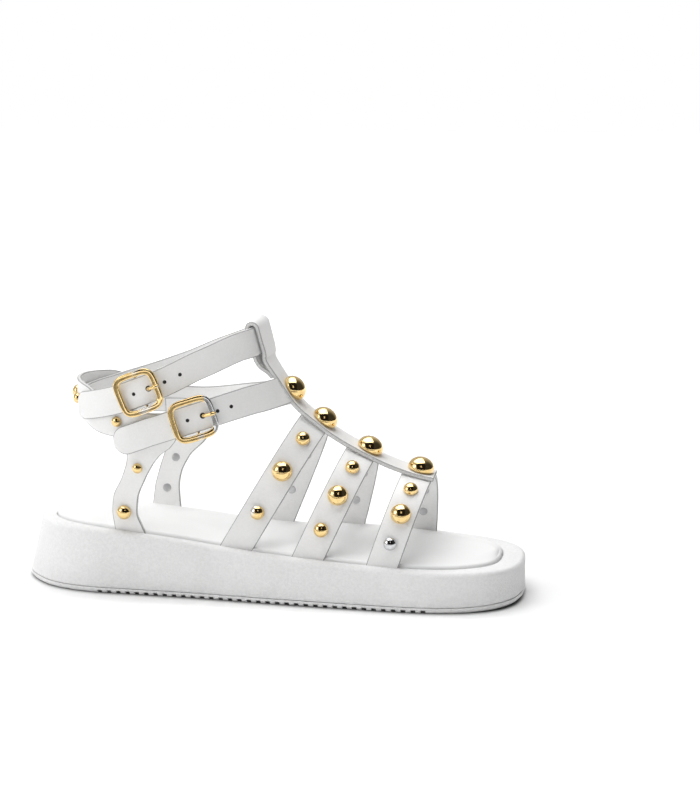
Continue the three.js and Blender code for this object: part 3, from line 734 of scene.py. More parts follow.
class Bench:
    """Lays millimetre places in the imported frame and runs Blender's mesh tools."""

    def __init__(self, sole: Sole) -> None:
        """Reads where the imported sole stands."""
        low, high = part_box("outsole")
        self.shift = Vector((low[0], high[1] - sole.ball_inner * MM, 0))

    def lay(self, point: Vector) -> Vector:
        """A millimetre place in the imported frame, in metres."""
        return point * MM + self.shift

    def spread(self) -> Matrix:
        """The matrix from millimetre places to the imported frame."""
        return Matrix.Translation(self.shift) @ Matrix.Scale(MM, 4)

    @staticmethod
    def clear() -> None:
        """Deselects everything."""
        if bpy.context.object is not None and bpy.context.object.mode != "OBJECT":
            bpy.ops.object.mode_set(mode="OBJECT")
        bpy.ops.object.select_all(action="DESELECT")

    @classmethod
    def pick(cls, obj: bpy.types.Object) -> None:
        """Makes one object selected and active.

        Args:
            obj: The object.
        """
        cls.clear()
        obj.select_set(True)
        bpy.context.view_layer.objects.active = obj

    @classmethod
    def edit(cls, obj: bpy.types.Object, *steps: Callable[[], Any]) -> None:
        """Runs tools in edit mode on everything of one object.

        Args:
            obj: The mesh object.
            steps: Functions without arguments, run in turn.
        """
        cls.pick(obj)
        bpy.ops.object.mode_set(mode="EDIT")
        bpy.ops.mesh.select_all(action="SELECT")
        for step in steps:
            step()
        bpy.ops.object.mode_set(mode="OBJECT")

    @classmethod
    def modify(cls, obj: bpy.types.Object, kind: str, **settings: Any) -> None:
        """Adds a modifier, sets it and applies it.

        Args:
            obj: The mesh object.
            kind: The modifier's type.
            settings: Its properties.
        """
        cls.pick(obj)
        modifier = obj.modifiers.new(kind.title(), kind)
        for name, value in settings.items():
            setattr(modifier, name, value)
        bpy.ops.object.modifier_apply(modifier=modifier.name)

    @classmethod
    def smooth(cls, obj: bpy.types.Object, degrees: float = 35.0) -> None:
        """Shades faces smooth where they meet at less than an angle."""
        cls.pick(obj)
        bpy.ops.object.shade_smooth_by_angle(angle=math.radians(degrees))

    def sheet(
        self, name: str, across: int, along: int, place: Callable[[float, float], Vector]
    ) -> bpy.types.Object:
        """Adds a flat grid and bends it to its place.

        Args:
            name: The new object's name.
            across: Number of faces across.
            along: Number of faces along.
            place: Gives the millimetre place for the shares across and along.

        Returns:
            The bent sheet.
        """
        self.clear()
        bpy.ops.mesh.primitive_grid_add(x_subdivisions=across, y_subdivisions=along, size=1.0)
        obj = bpy.context.object
        obj.name = obj.data.name = name
        for vertex in obj.data.vertices:
            vertex.co = self.lay(place(vertex.co.x + 0.5, vertex.co.y + 0.5))
        return obj

    def closed(self, obj: bpy.types.Object) -> bpy.types.Object:
        """Merges a sheet's seam, fills its open ends and turns its faces outwards.

        Args:
            obj: The sheet, rolled or joined to its lids.

        Returns:
            The same object, closed.
        """
        self.edit(
            obj,
            lambda: bpy.ops.mesh.remove_doubles(threshold=1e-6),
            lambda: bpy.ops.mesh.dissolve_degenerate(threshold=1e-7),
            lambda: bpy.ops.mesh.select_all(action="DESELECT"),
            lambda: bpy.ops.mesh.select_non_manifold(
                extend=False, use_wire=False, use_boundary=True, use_multi_face=False,
                use_non_contiguous=False, use_verts=False,
            ),
            lambda: bpy.ops.mesh.fill_holes(sides=0),
            lambda: bpy.ops.mesh.select_all(action="SELECT"),
            lambda: bpy.ops.mesh.normals_make_consistent(inside=False),
        )
        return obj

    def leather(
        self, obj: bpy.types.Object, wall: float, edge: float, cutters: Sequence[bpy.types.Object] = ()
    ) -> bpy.types.Object:
        """Gives a bent sheet its wall, its rounded edges and its punched holes.

        Args:
            obj: The sheet.
            wall: The wall in millimetres.
            edge: Rounding of its edges in millimetres.
            cutters: Objects that punch holes; they are used up.

        Returns:
            The finished piece of leather.
        """
        self.modify(
            obj, "SOLIDIFY", thickness=wall * MM, offset=0.0, use_even_offset=True, material_offset_rim=1,
        )
        # The bevel faces take the third material, the dark edge bead of edge paint and painted edge shade.
        self.modify(
            obj, "BEVEL", width=edge * MM, segments=3, limit_method="ANGLE", angle_limit=math.radians(50),
            use_clamp_overlap=False, material=2,
        )
        for cutter in cutters:
            self.modify(obj, "BOOLEAN", object=cutter, operation="DIFFERENCE", solver="EXACT",
                        material_mode="TRANSFER")
            bpy.data.objects.remove(cutter, do_unlink=True)
        self.smooth(obj)
        return obj

    def ribbon(self, name: str, path: Path, faces: int = 4) -> bpy.types.Object:
        """A sheet carried along a row of stands.

        Args:
            name: The new object's name.
            path: The stands of its middle line, each with the width there.
            faces: Number of faces across.

        Returns:
            The bent sheet.
        """
        last = len(path) - 1

        def place(s: float, t: float) -> Vector:
            """The place for the shares across and along."""
            stand, width = path[round(t * last)]
            return stand.place + stand.across * ((s - 0.5) * width)

        return self.sheet(name, faces, last, place)

    def tube(
        self, name: str, rings: Callable[[float, float], Vector], around: int, along: int
    ) -> bpy.types.Object:
        """A grid rolled into a closed tube.

        Args:
            name: The new object's name.
            rings: Gives the place for the shares around and along.
            around: Number of faces around.
            along: Number of faces along.

        Returns:
            The closed shape.
        """
        return self.smoothed(self.closed(self.sheet(name, around, along, rings)))

    def smoothed(self, obj: bpy.types.Object) -> bpy.types.Object:
        """Smooth shading, given back for chaining."""
        self.smooth(obj)
        return obj

    def copy(self, source: bpy.types.Object, name: str, matrix: Matrix) -> bpy.types.Object:
        """A copy with its own mesh, moved in its mesh.

        Args:
            source: The object to copy, modelled in millimetres at the origin.
            name: The copy's name.
            matrix: Its place in millimetres.

        Returns:
            The copy.
        """
        mesh = source.data.copy()
        mesh.name = name
        mesh.transform(self.spread() @ matrix)
        mesh.update()
        obj = bpy.data.objects.new(name, mesh)
        bpy.context.scene.collection.objects.link(obj)
        return obj

    def joined(self, objs: Sequence[bpy.types.Object], name: str) -> bpy.types.Object:
        """Several objects as one.

        Args:
            objs: The objects.
            name: The name of the joined object.

        Returns:
            The joined object.
        """
        self.clear()
        for obj in objs:
            obj.select_set(True)
        bpy.context.view_layer.objects.active = objs[0]
        bpy.ops.object.join()
        objs[0].name = objs[0].data.name = name
        return objs[0]


# Materials


class Wire:
    """A shader socket that takes part in Python sums."""

    def __init__(self, graph: Graph, socket: bpy.types.NodeSocket | None) -> None:
        """Wraps a socket of a graph."""
        self.graph, self.socket = graph, socket

    def _math(self, operation: str, first: Any, second: Any) -> Wire:
        """A Math node on two values."""
        return self.graph.node("ShaderNodeMath", {"operation": operation}, {0: first, 1: second})

    def __add__(self, other: Any) -> Wire:
        """Sum."""
        return self._math("ADD", self, other)

    __radd__ = __add__

    def __sub__(self, other: Any) -> Wire:
        """Difference."""
        return self._math("SUBTRACT", self, other)

    def __rsub__(self, other: Any) -> Wire:
        """Difference from a number."""
        return self._math("SUBTRACT", other, self)

    def __mul__(self, other: Any) -> Wire:
        """Product."""
        return self._math("MULTIPLY", self, other)

    __rmul__ = __mul__

    def __truediv__(self, other: Any) -> Wire:
        """Quotient."""
        return self._math("DIVIDE", self, other)

    def __pow__(self, other: Any) -> Wire:
        """Power."""
        return self._math("POWER", self, other)

    def step(self, low: float, high: float) -> Wire:
        """Eased share of the way from low to high.

        Args:
            low: Where it is 0.
            high: Where it is 1.

        Returns:
            The share.
        """
        return self.graph.node(
            "ShaderNodeMapRange", {"interpolation_type": "SMOOTHSTEP"},
            {"Value": self, "From Min": low, "From Max": high, "To Min": 0.0, "To Max": 1.0},
        )


class Graph:
    """A node tree that is written as expressions."""

    def __init__(self, tree: bpy.types.NodeTree) -> None:
        """Empties the tree."""
        self.tree = tree
        tree.nodes.clear()

    def node(
        self, kind: str, settings: dict[str, Any] | None = None, inputs: dict[Any, Any] | None = None,
        output: int | str = 0,
    ) -> Wire:
        """Adds a node.

        Args:
            kind: The node's type.
            settings: Its properties, set first.
            inputs: Values or wires for its sockets, by name or number.
            output: The output that is handed back.

        Returns:
            A wire from that output.
        """
        made = self.tree.nodes.new(kind)
        for name, value in (settings or {}).items():
            setattr(made, name, value)
        for key, value in (inputs or {}).items():
            if isinstance(value, Wire):
                self.tree.links.new(value.socket, made.inputs[key])
            else:
                made.inputs[key].default_value = value
        return Wire(self, made.outputs[output] if made.outputs else None)

    def places(self, scale: float = 1.0) -> Wire:
        """Object coordinates, scaled."""
        coords = self.node("ShaderNodeTexCoord", output="Object")
        return self.node("ShaderNodeMapping", None, {"Vector": coords, "Scale": (scale, scale, scale)})

    def axis(self, vector: Wire, number: int) -> Wire:
        """One number of a vector."""
        return self.node("ShaderNodeSeparateXYZ", None, {0: vector}, number)

    def noise(self, size_mm: float, detail: float = 2.0, roughness: float = 0.5) -> Wire:
        """Noise whose blots have about a size in millimetres.

        Args:
            size_mm: The size.
            detail: Number of finer layers.
            roughness: Strength of each finer layer.

        Returns:
            The noise, about 0 to 1.
        """
        places = self.places(1 / (size_mm * MM))
        return self.node(
            "ShaderNodeTexNoise", None,
            {"Vector": places, "Scale": 1.0, "Detail": detail, "Roughness": roughness},
        )

    def cells(self, size_mm: float) -> Wire:
        """Distance to the nearest of scattered points about a size apart.

        Args:
            size_mm: The size.

        Returns:
            The distance, as a share of the size.
        """
        return self.node(
            "ShaderNodeTexVoronoi", {"feature": "F1"},
            {"Vector": self.places(1 / (size_mm * MM)), "Scale": 1.0}, "Distance",
        )

    def blend(self, factor: Wire, first: Wire | Sequence[float], second: Wire | Sequence[float]) -> Wire:
        """Mix of two colours."""
        colours = [c if isinstance(c, Wire) else (*c, 1) for c in (first, second)]
        return self.node("ShaderNodeMix", {"data_type": "RGBA"}, {0: factor, 6: colours[0], 7: colours[1]}, 2)

    def bump(self, height: Wire, depth_mm: float, strength: float = 1.0) -> Wire:
        """A Bump node with its depth in millimetres.

        Args:
            height: The relief, about 0 to 1.
            depth_mm: The relief's depth.
            strength: The node's strength.

        Returns:
            The normal.
        """
        return self.node(
            "ShaderNodeBump", None, {"Height": height, "Strength": strength, "Distance": depth_mm * MM},
        )


class Finish:
    """A finish of the shoe or its stage; its material is made once."""

    name: str

    def surface(self, graph: Graph) -> dict[str, Any]:
        """Sockets of the shader, left to each finish."""
        raise NotImplementedError

    def shader(self, graph: Graph) -> Wire:
        """The finish's shader."""
        return graph.node("ShaderNodeBsdfPrincipled", None, self.surface(graph), "BSDF")

    def material(self) -> bpy.types.Material:
        """The finish's material.

        Returns:
            The material, made on the first call.
        """
        material = bpy.data.materials.get(self.name)
        if material is None:
            material = bpy.data.materials.new(self.name)
            material.use_nodes = True
            graph = Graph(material.node_tree)
            graph.node("ShaderNodeOutputMaterial", None, {"Surface": self.shader(graph)})
        return material


@dataclass(frozen=True)
class SmoothLeather(Finish):
    """White finished leather with a fine grain and faint creases."""

    name: str = "white leather, smooth"
    light: Sequence[float] = (0.93, 0.928, 0.922)
    shade: Sequence[float] = (0.845, 0.843, 0.838)
    grain_mm: float = 0.6
    relief_mm: float = 0.09
    roughness: float = 0.44

    def surface(self, graph: Graph) -> dict[str, Any]:
        """The shader's sockets.

        Args:
            graph: The material's nodes.

        Returns:
            The sockets' values and wires.
        """
        cloudy = graph.noise(22, 3).step(0.35, 0.75)
        pores = graph.cells(self.grain_mm)
        creases = graph.noise(3.4, 4, 0.65)
        height = pores * 0.4 + creases * 0.9 + graph.noise(11, 2) * 1.6
        fine = graph.noise(1.1, 3, 0.7).step(0.3, 0.75)
        return {
            "Base Color": graph.blend(cloudy * 0.45 + fine * 0.45, self.light, self.shade),
            "Roughness": graph.noise(6, 3) * 0.16 + (self.roughness - 0.08),
            "IOR": 1.47,
            "Normal": graph.bump(height, self.relief_mm, 0.8),
        }


@dataclass(frozen=True)
class CutEdge(Finish):
    """The painted cut edge of the leather, slightly greyer, with faint layers."""

    name: str = "leather edge, painted"
    light: Sequence[float] = (0.74, 0.74, 0.735)
    shade: Sequence[float] = (0.56, 0.56, 0.555)

    def surface(self, graph: Graph) -> dict[str, Any]:
        """The shader's sockets.

        Args:
            graph: The material's nodes.

        Returns:
            The sockets' values and wires.
        """
        fibre = graph.noise(0.5, 4, 0.7)
        return {
            "Base Color": graph.blend(fibre.step(0.35, 0.8), self.light, self.shade),
            "Roughness": fibre * 0.2 + 0.5,
            "Normal": graph.bump(fibre, 0.08, 0.7),
        }


@dataclass(frozen=True)
class ShadedEdgeBead(CutEdge):
    """The thin dark grey bead along every rounded corner: partly edge paint rolled over the corner, partly
    painted shade.
    """

    name: str = "edge paint bead"
    light: Sequence[float] = (0.46, 0.46, 0.455)
    shade: Sequence[float] = (0.28, 0.28, 0.275)


@dataclass(frozen=True)
class PaintedHoleShade(Finish):
    """Painted shade for a punched hole: a near-black wall and web that stand in for the shade inside the
    hole, with a faint fibre grain.
    """

    name: str = "punched hole wall"

    def surface(self, graph: Graph) -> dict[str, Any]:
        """The shader's sockets.

        Args:
            graph: The material's nodes.

        Returns:
            The sockets' values and wires.
        """
        fibre = graph.noise(0.3, 3)
        return {
            # Near-black painted shade, mottled by the fibre noise.
            "Base Color": graph.blend(fibre, (0.03, 0.028, 0.026), (0.08, 0.075, 0.07)),
            "Roughness": fibre * 0.1 + 0.85,
            "Normal": graph.bump(fibre, 0.05),
        }


@dataclass(frozen=True)
class SoftLining(Finish):
    """The insole's soft cover, matt with a fine nap."""

    name: str = "insole cover, soft"

    def surface(self, graph: Graph) -> dict[str, Any]:
        """The shader's sockets.

        Args:
            graph: The material's nodes.

        Returns:
            The sockets' values and wires.
        """
        cloudy = graph.noise(26, 3).step(0.35, 0.8)
        grain = graph.cells(0.7) + graph.noise(0.3, 2) * 0.5
        wrinkle = graph.noise(5.5, 4, 0.6)
        return {
            "Base Color": graph.blend(cloudy * 0.6, (0.93, 0.93, 0.928), (0.885, 0.885, 0.88)),
            "Roughness": graph.noise(8, 2) * 0.12 + 0.56,
            "Normal": graph.bump(grain * 0.5 + wrinkle * 1.2, 0.06, 0.7),
        }


@dataclass(frozen=True)
class Foam(Finish):
    """Moulded foam with a fine matt grain."""

    name: str = "moulded foam, fine grain"

    def surface(self, graph: Graph) -> dict[str, Any]:
        """The shader's sockets.

        Args:
            graph: The material's nodes.

        Returns:
            The sockets' values and wires.
        """
        grain = graph.cells(0.9) * 0.8 + graph.noise(0.45, 3, 0.6)
        cloudy = graph.noise(35, 3).step(0.3, 0.8)
        speck = (1 - graph.cells(4.5)).step(0.93, 0.99)
        fine = graph.noise(1.3, 3, 0.75).step(0.3, 0.7)
        tone = cloudy * 0.3 + fine * 0.5 + speck * 0.3
        return {
            "Base Color": graph.blend(tone, (0.925, 0.925, 0.925), (0.79, 0.79, 0.79)),
            "Roughness": graph.noise(1.2, 3) * 0.14 + 0.68,
            "Normal": graph.bump(grain, 0.17, 0.9),
        }


@dataclass(frozen=True)
class Rubber(Finish):
    """The outsole's rubber, a shade greyer than the foam, with scuffs."""

    name: str = "outsole rubber"

    def surface(self, graph: Graph) -> dict[str, Any]:
        """The shader's sockets.

        Args:
            graph: The material's nodes.

        Returns:
            The sockets' values and wires.
        """
        scuff = graph.noise(2.2, 5, 0.7)
        return {
            "Base Color": graph.blend(scuff.step(0.4, 0.8), (0.86, 0.86, 0.857), (0.72, 0.72, 0.715)),
            "Roughness": scuff * 0.2 + 0.6,
            "Normal": graph.bump(scuff + graph.cells(0.8) * 0.4, 0.09),
        }


@dataclass(frozen=True)
class PolishedMetal(Finish):
    """Polished, plated metal with faint handling marks."""

    name: str = "gold plate, polished"
    colour: Sequence[float] = (0.93, 0.70, 0.34)
    deep: Sequence[float] = (0.80, 0.54, 0.20)
    worn: Sequence[float] = (0.80, 0.78, 0.74)
    worn_from: float = 0.63
    worn_fade: float = 0.14
    roughness: float = 0.07

    def surface(self, graph: Graph) -> dict[str, Any]:
        """The shader's sockets.

        Args:
            graph: The material's nodes.

        Returns:
            The sockets' values and wires.
        """
        haze = graph.noise(2.4, 4, 0.6)
        marks = graph.noise(0.6, 3, 0.7)
        return {
            "Base Color": graph.blend(
                graph.noise(11, 1).step(self.worn_from, self.worn_from + self.worn_fade),
                graph.blend(haze.step(0.35, 0.85), self.colour, self.deep), self.worn,
            ),
            "Metallic": 1.0,
            "Roughness": haze * 0.07 + marks * 0.04 + (self.roughness - 0.03),
            "Normal": graph.bump(haze, 0.03, 0.35),
        }


@dataclass(frozen=True)
class Thread(Finish):
    """White sewing thread."""

    name: str = "thread, twisted"

    def surface(self, graph: Graph) -> dict[str, Any]:
        """The shader's sockets.

        Args:
            graph: The material's nodes.

        Returns:
            The sockets' values and wires.
        """
        twist = graph.noise(0.35, 3)
        return {
            "Base Color": graph.blend(twist, (0.82, 0.82, 0.81), (0.66, 0.66, 0.65)),
            "Roughness": twist * 0.1 + 0.6,
            "Normal": graph.bump(twist, 0.06),
        }


@dataclass(frozen=True)
class PaleFloor(Finish):
    """The table glows as painted light: none under the sole, little beside it and more far away."""

    name: str = "pale floor"
    light: Sequence[float] = (0.95, 0.95, 0.95)
    shade: Sequence[float] = (0.93, 0.93, 0.93)
    glow_near: float = 0.12
    glow_far: float = 0.62
    sole_reach: float = 0.121
    sole_side: float = 0.036

    def surface(self, graph: Graph) -> dict[str, Any]:
        """The shader's sockets.

        Args:
            graph: The material's nodes.

        Returns:
            The sockets' values and wires.
        """
        x, y = (graph.axis(graph.places(), number) for number in (0, 1))
        # Painted shadow: the glow is cut to nothing under the sole and grows away from it.
        beside = ((x / self.sole_reach) ** 4.0 + (y / self.sole_side) ** 4.0).step(1.0, 4.0)
        far = ((x * x + y * y) ** 0.5).step(0.3, 1.1)
        glow = beside * (far * self.glow_far + self.glow_near)
        return {
            "Base Color": graph.blend(graph.noise(300, 2), self.light, self.shade),
            "Roughness": 0.9,
            "Emission Color": graph.node("ShaderNodeCombineColor", None, {0: glow, 1: glow, 2: glow}),
            "Emission Strength": 1.0,
        }


@dataclass(frozen=True)
class ContactShadow(Finish):
    """The dark line round the sole, fading outwards."""

    name: str = "contact shadow"
    fade_from: float = 0.12
    falloff: float = 3.0
    strength: float = 0.85

    def surface(self, graph: Graph) -> dict[str, Any]:
        """The shader's sockets.

        Args:
            graph: The material's nodes.

        Returns:
            The sockets' values and wires.
        """
        outward = graph.axis(graph.node("ShaderNodeTexCoord", output="UV"), 1)
        fade = (1 - outward.step(self.fade_from, 1.0)) ** self.falloff
        return {"Base Color": (0.01, 0.01, 0.01, 1), "Roughness": 1.0, "Alpha": fade * self.strength}


@dataclass(frozen=True)
class GlowingCard(Finish):
    """A card for reflections, mottled between two tones."""

    name: str
    dark: Sequence[float]
    light: Sequence[float]

    def shader(self, graph: Graph) -> Wire:
        """The card's light."""
        tone = graph.blend(graph.noise(38, 1).step(0.42, 0.56), self.dark, self.light)
        return graph.node("ShaderNodeEmission", None, {"Color": tone, "Strength": 1.0})


@dataclass(frozen=True)
class Finishes:
    """Every finish of the shoe."""

    leather: Finish = SmoothLeather()
    edge: Finish = CutEdge()
    bead: Finish = ShadedEdgeBead()
    hole: Finish = PaintedHoleShade()
    lining: Finish = SoftLining()
    foam: Finish = Foam()
    rubber: Finish = Rubber()
    gold: Finish = PolishedMetal()
    silver: Finish = PolishedMetal("silver plate, polished", (0.70, 0.71, 0.72), (0.52, 0.53, 0.55))
    rivet: Finish = PolishedMetal(
        "rivet back, dull nickel", (0.62, 0.62, 0.63), (0.48, 0.48, 0.5), roughness=0.3
    )
    thread: Finish = Thread()


# Pieces


@dataclass
class Workshop:
    """What every sub-assembly works with."""

    shoe: Shoe
    bench: Bench
    finishes: Finishes
    packed: dict[str, bpy.types.Object]
    made: int = 0

    def dress(self, obj: bpy.types.Object, *finishes: Finish) -> None:
        """Gives a piece its materials in order.

        Args:
            obj: The piece.
            finishes: Its finishes, in the order of its material slots.
        """
        obj.data.materials.clear()
        for finish in finishes:
            obj.data.materials.append(finish.material())

    def keep(self, obj: bpy.types.Object, slot: Slot, *nodes: str) -> bpy.types.Object:
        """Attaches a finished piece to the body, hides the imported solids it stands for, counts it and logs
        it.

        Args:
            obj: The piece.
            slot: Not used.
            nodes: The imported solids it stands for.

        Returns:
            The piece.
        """
        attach(obj, BODY)
        if nodes:
            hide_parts(*nodes)
        self.made += 1
        LOG.info("piece %s for %s", obj.name, ", ".join(nodes) or "nothing packed")
        return obj


@dataclass
class SoleUnit:
    """Foam midsole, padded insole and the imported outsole's finish.

    The ripples' rows hold the distance from the heel, the depth and the half length. The dents' rows hold
    the place along and across, the half length, the half width and the depth.
    """

    shop: Workshop
    stations: int = 110
    rounding: int = 40
    lid_faces: int = 32
    foot_edge: float = 0.5
    lip: float = 0.7
    recess_taper: float = 0.4
    pad_gap: float = 0.7
    pad_rise: float = 1.4
    pad_crown: float = 1.6
    wall_drop: float = 0.4
    round_drop: float = 0.2
    round_extra: float = 0.25
    ripples: Rows = ((112, 0.7, 2.6), (128, 1.0, 3.4), (147, 1.1, 3.2), (166, 1.0, 3.8), (187, 0.7, 3.2))
    ripple_skew: float = 0.12
    ripple_bow: float = 0.004
    dents: Rows = ((40, 0, 34, 24, 0.8), (180, 2, 30, 26, 0.6))

    def build(self) -> None:
        """Builds and dresses the sole."""
        self.midsole()
        self.insole()
        self.shop.dress(self.shop.packed["outsole"], self.shop.finishes.rubber)
        LOG.info("packed outsole dressed")

    def _ring(
        self, inset: Callable[[float], float], height: Callable[[float], float], lean: float, passes: int = 0
    ) -> list[Vector]:
        """One ring of the sole.

        Args:
            inset: Distance in from the outline, by the place along the sole.
            height: Height, by the place along the sole.
            lean: Share of the heel's lean.
            passes: Number of smoothing passes over its corners.

        Returns:
            The ring's points.
        """
        sole = self.shop.shoe.sole
        plan = [sole.leaned(p - normal * inset(p.x), lean) for p, normal in sole.outline(self.stations)]
        for _ in range(passes):
            plan = [
                (plan[i - 1] + plan[i] * 2 + plan[(i + 1) % len(plan)]) / 4 for i in range(len(plan))
            ]
        return [Vector((p.x, p.y, height(p.x))) for p in plan]

    def _recess_ring(self, inset: float, height: Callable[[float], float]) -> list[Vector]:
        """A ring along the recess's edge, moved in by millimetres, with rounded corners."""
        sole = self.shop.shoe.sole
        return self._ring(lambda x: sole.rim(x) + inset, height, 1, self.rounding)

    def _lid(self, name: str, ring: Sequence[Vector], height: LidHeight) -> bpy.types.Object:
        """A lid over a ring, as a grid from its outer to its inner side.

        Args:
            name: The new object's name.
            ring: The ring.
            height: Its height, from a place and its depth in from the edge.

        Returns:
            The lid.
        """

        def place(s: float, t: float) -> Vector:
            """The place for the shares across and along.

            Args:
                s: The share across.
                t: The share along.

            Returns:
                The place in millimetres.
            """
            i = round(t * self.stations)
            outer, inner = ring[i], ring[-i % len(ring)]
            spot = outer.lerp(inner, s)
            if s in (0.0, 1.0):
                return spot
            depth = (1 - abs(2 * s - 1)) * (inner - outer).length / 2
            return Vector((spot.x, spot.y, height(spot.x, spot.y, depth)))

        return self.shop.bench.sheet(name, self.lid_faces, self.stations, place)

    def _loft(
        self, name: str, rings: Sequence[Sequence[Vector]], first: LidHeight, last: LidHeight
    ) -> bpy.types.Object:
        """A closed shape through rings.

        Args:
            name: The new object's name.
            rings: The rings, each with the outline's stations.
            first: Height of the first ring's lid, from a place and its depth in from the edge.
            last: Height of the last ring's lid, in the same way.

        Returns:
            The closed shape.
        """
        bench, count, steps = self.shop.bench, len(rings[0]), len(rings) - 1

        def place(s: float, t: float) -> Vector:
            """The place for the shares around and from the first ring to the last."""
            return rings[round(t * steps)][round(s * count) % count]

        wall = bench.sheet(name, count, steps, place)
        lids = self._lid(f"{name}_lid", rings[0], first), self._lid(f"{name}_lid", rings[-1], last)
        return bench.closed(bench.joined([wall, *lids], name))

    def midsole(self) -> None:
        """The foam block with a soft top edge and the recess for the insole."""
        sole = self.shop.shoe.sole
        step, radius = sole.outsole_step, sole.edge_radius

        def base(x: float, *_: float) -> float:
            """Height of the foam's underside."""
            return sole.lift(x) + sole.outsole + sole.gap * 0.5

        def floor(x: float, *_: float) -> float:
            """Height of the recess's floor."""
            return sole.top(x) - sole.recess

        def side(share: float) -> Callable[[float], float]:
            """Heights at a share of the straight side."""
            return lambda x: mix(base(x) + self.foot_edge, sole.top(x) - radius, share)

        rings = [self._ring(lambda x: step + self.foot_edge, base, 0)]
        rings += [self._ring(lambda x: step, side(share), share) for share in (0, 0.25, 0.5, 0.75)]
        for degrees in range(0, 91, 15):
            turn = math.radians(degrees)
            inset, drop = radius * (1 - math.cos(turn)), radius * (1 - math.sin(turn))
            rings.append(self._ring(lambda x: step + inset, lambda x: sole.top(x) - drop, 1))
        for degrees in range(0, 91, 30):
            turn = math.radians(degrees)
            inset, drop = -self.lip * (1 - math.sin(turn)), self.lip * (1 - math.cos(turn))
            rings.append(self._recess_ring(inset, lambda x: sole.top(x) - drop))
        rings.append(self._recess_ring(self.recess_taper, floor))
        obj = self._loft("midsole_foam", rings, base, floor)
        self.shop.bench.smooth(obj, 50)
        self.shop.dress(obj, self.shop.finishes.foam)
        self.shop.keep(obj, Slot.FOAM, "midsole")

    def _pad_top(self, x: float, y: float, depth: float) -> float:
        """Height of the insole's face, with its crown, its ripples and the dents of the foot.

        Args:
            x: Distance from the heel.
            y: Distance from the axis, to the inner side.
            depth: Distance in from the pad's edge.

        Returns:
            The height in millimetres.
        """
        ripple = sum(
            deep * bell(x + self.ripple_skew * y - self.ripple_bow * y * y, middle, long)
            for middle, deep, long in self.ripples
        )
        dent = sum(
            deep * bell(x, along, long) * bell(y, aside, wide)
            for along, aside, long, wide, deep in self.dents
        )
        rise = self.pad_rise + self.pad_crown * smoothstep(depth, -2, 13)
        return self.shop.shoe.sole.top(x) + rise - (ripple + dent) * smoothstep(depth, 0, 12)

    def insole(self) -> None:
        """The padded insole: a domed pad with soft ripples under the ball of the foot."""
        sole = self.shop.shoe.sole

        def foot(x: float, *_: float) -> float:
            """Height of the pad's underside."""
            return sole.top(x) - sole.recess + sole.gap

        rings = [
            self._recess_ring(self.pad_gap, foot),
            self._recess_ring(self.pad_gap, lambda x: sole.top(x) - self.wall_drop),
        ]
        for degrees in (0, 20, 42, 64, 90):
            turn = math.radians(degrees)
            inset = self.pad_gap + self.pad_rise * (1 - math.cos(turn))
            rise = (self.pad_rise + self.round_extra) * math.sin(turn)
            rings.append(self._recess_ring(inset, lambda x: sole.top(x) - self.round_drop + rise))
        obj = self._loft("insole_pad", rings, foot, self._pad_top)
        self.shop.bench.smooth(obj, 60)
        self.shop.dress(obj, self.shop.finishes.lining)
        self.shop.keep(obj, Slot.INSOLE, "insole")


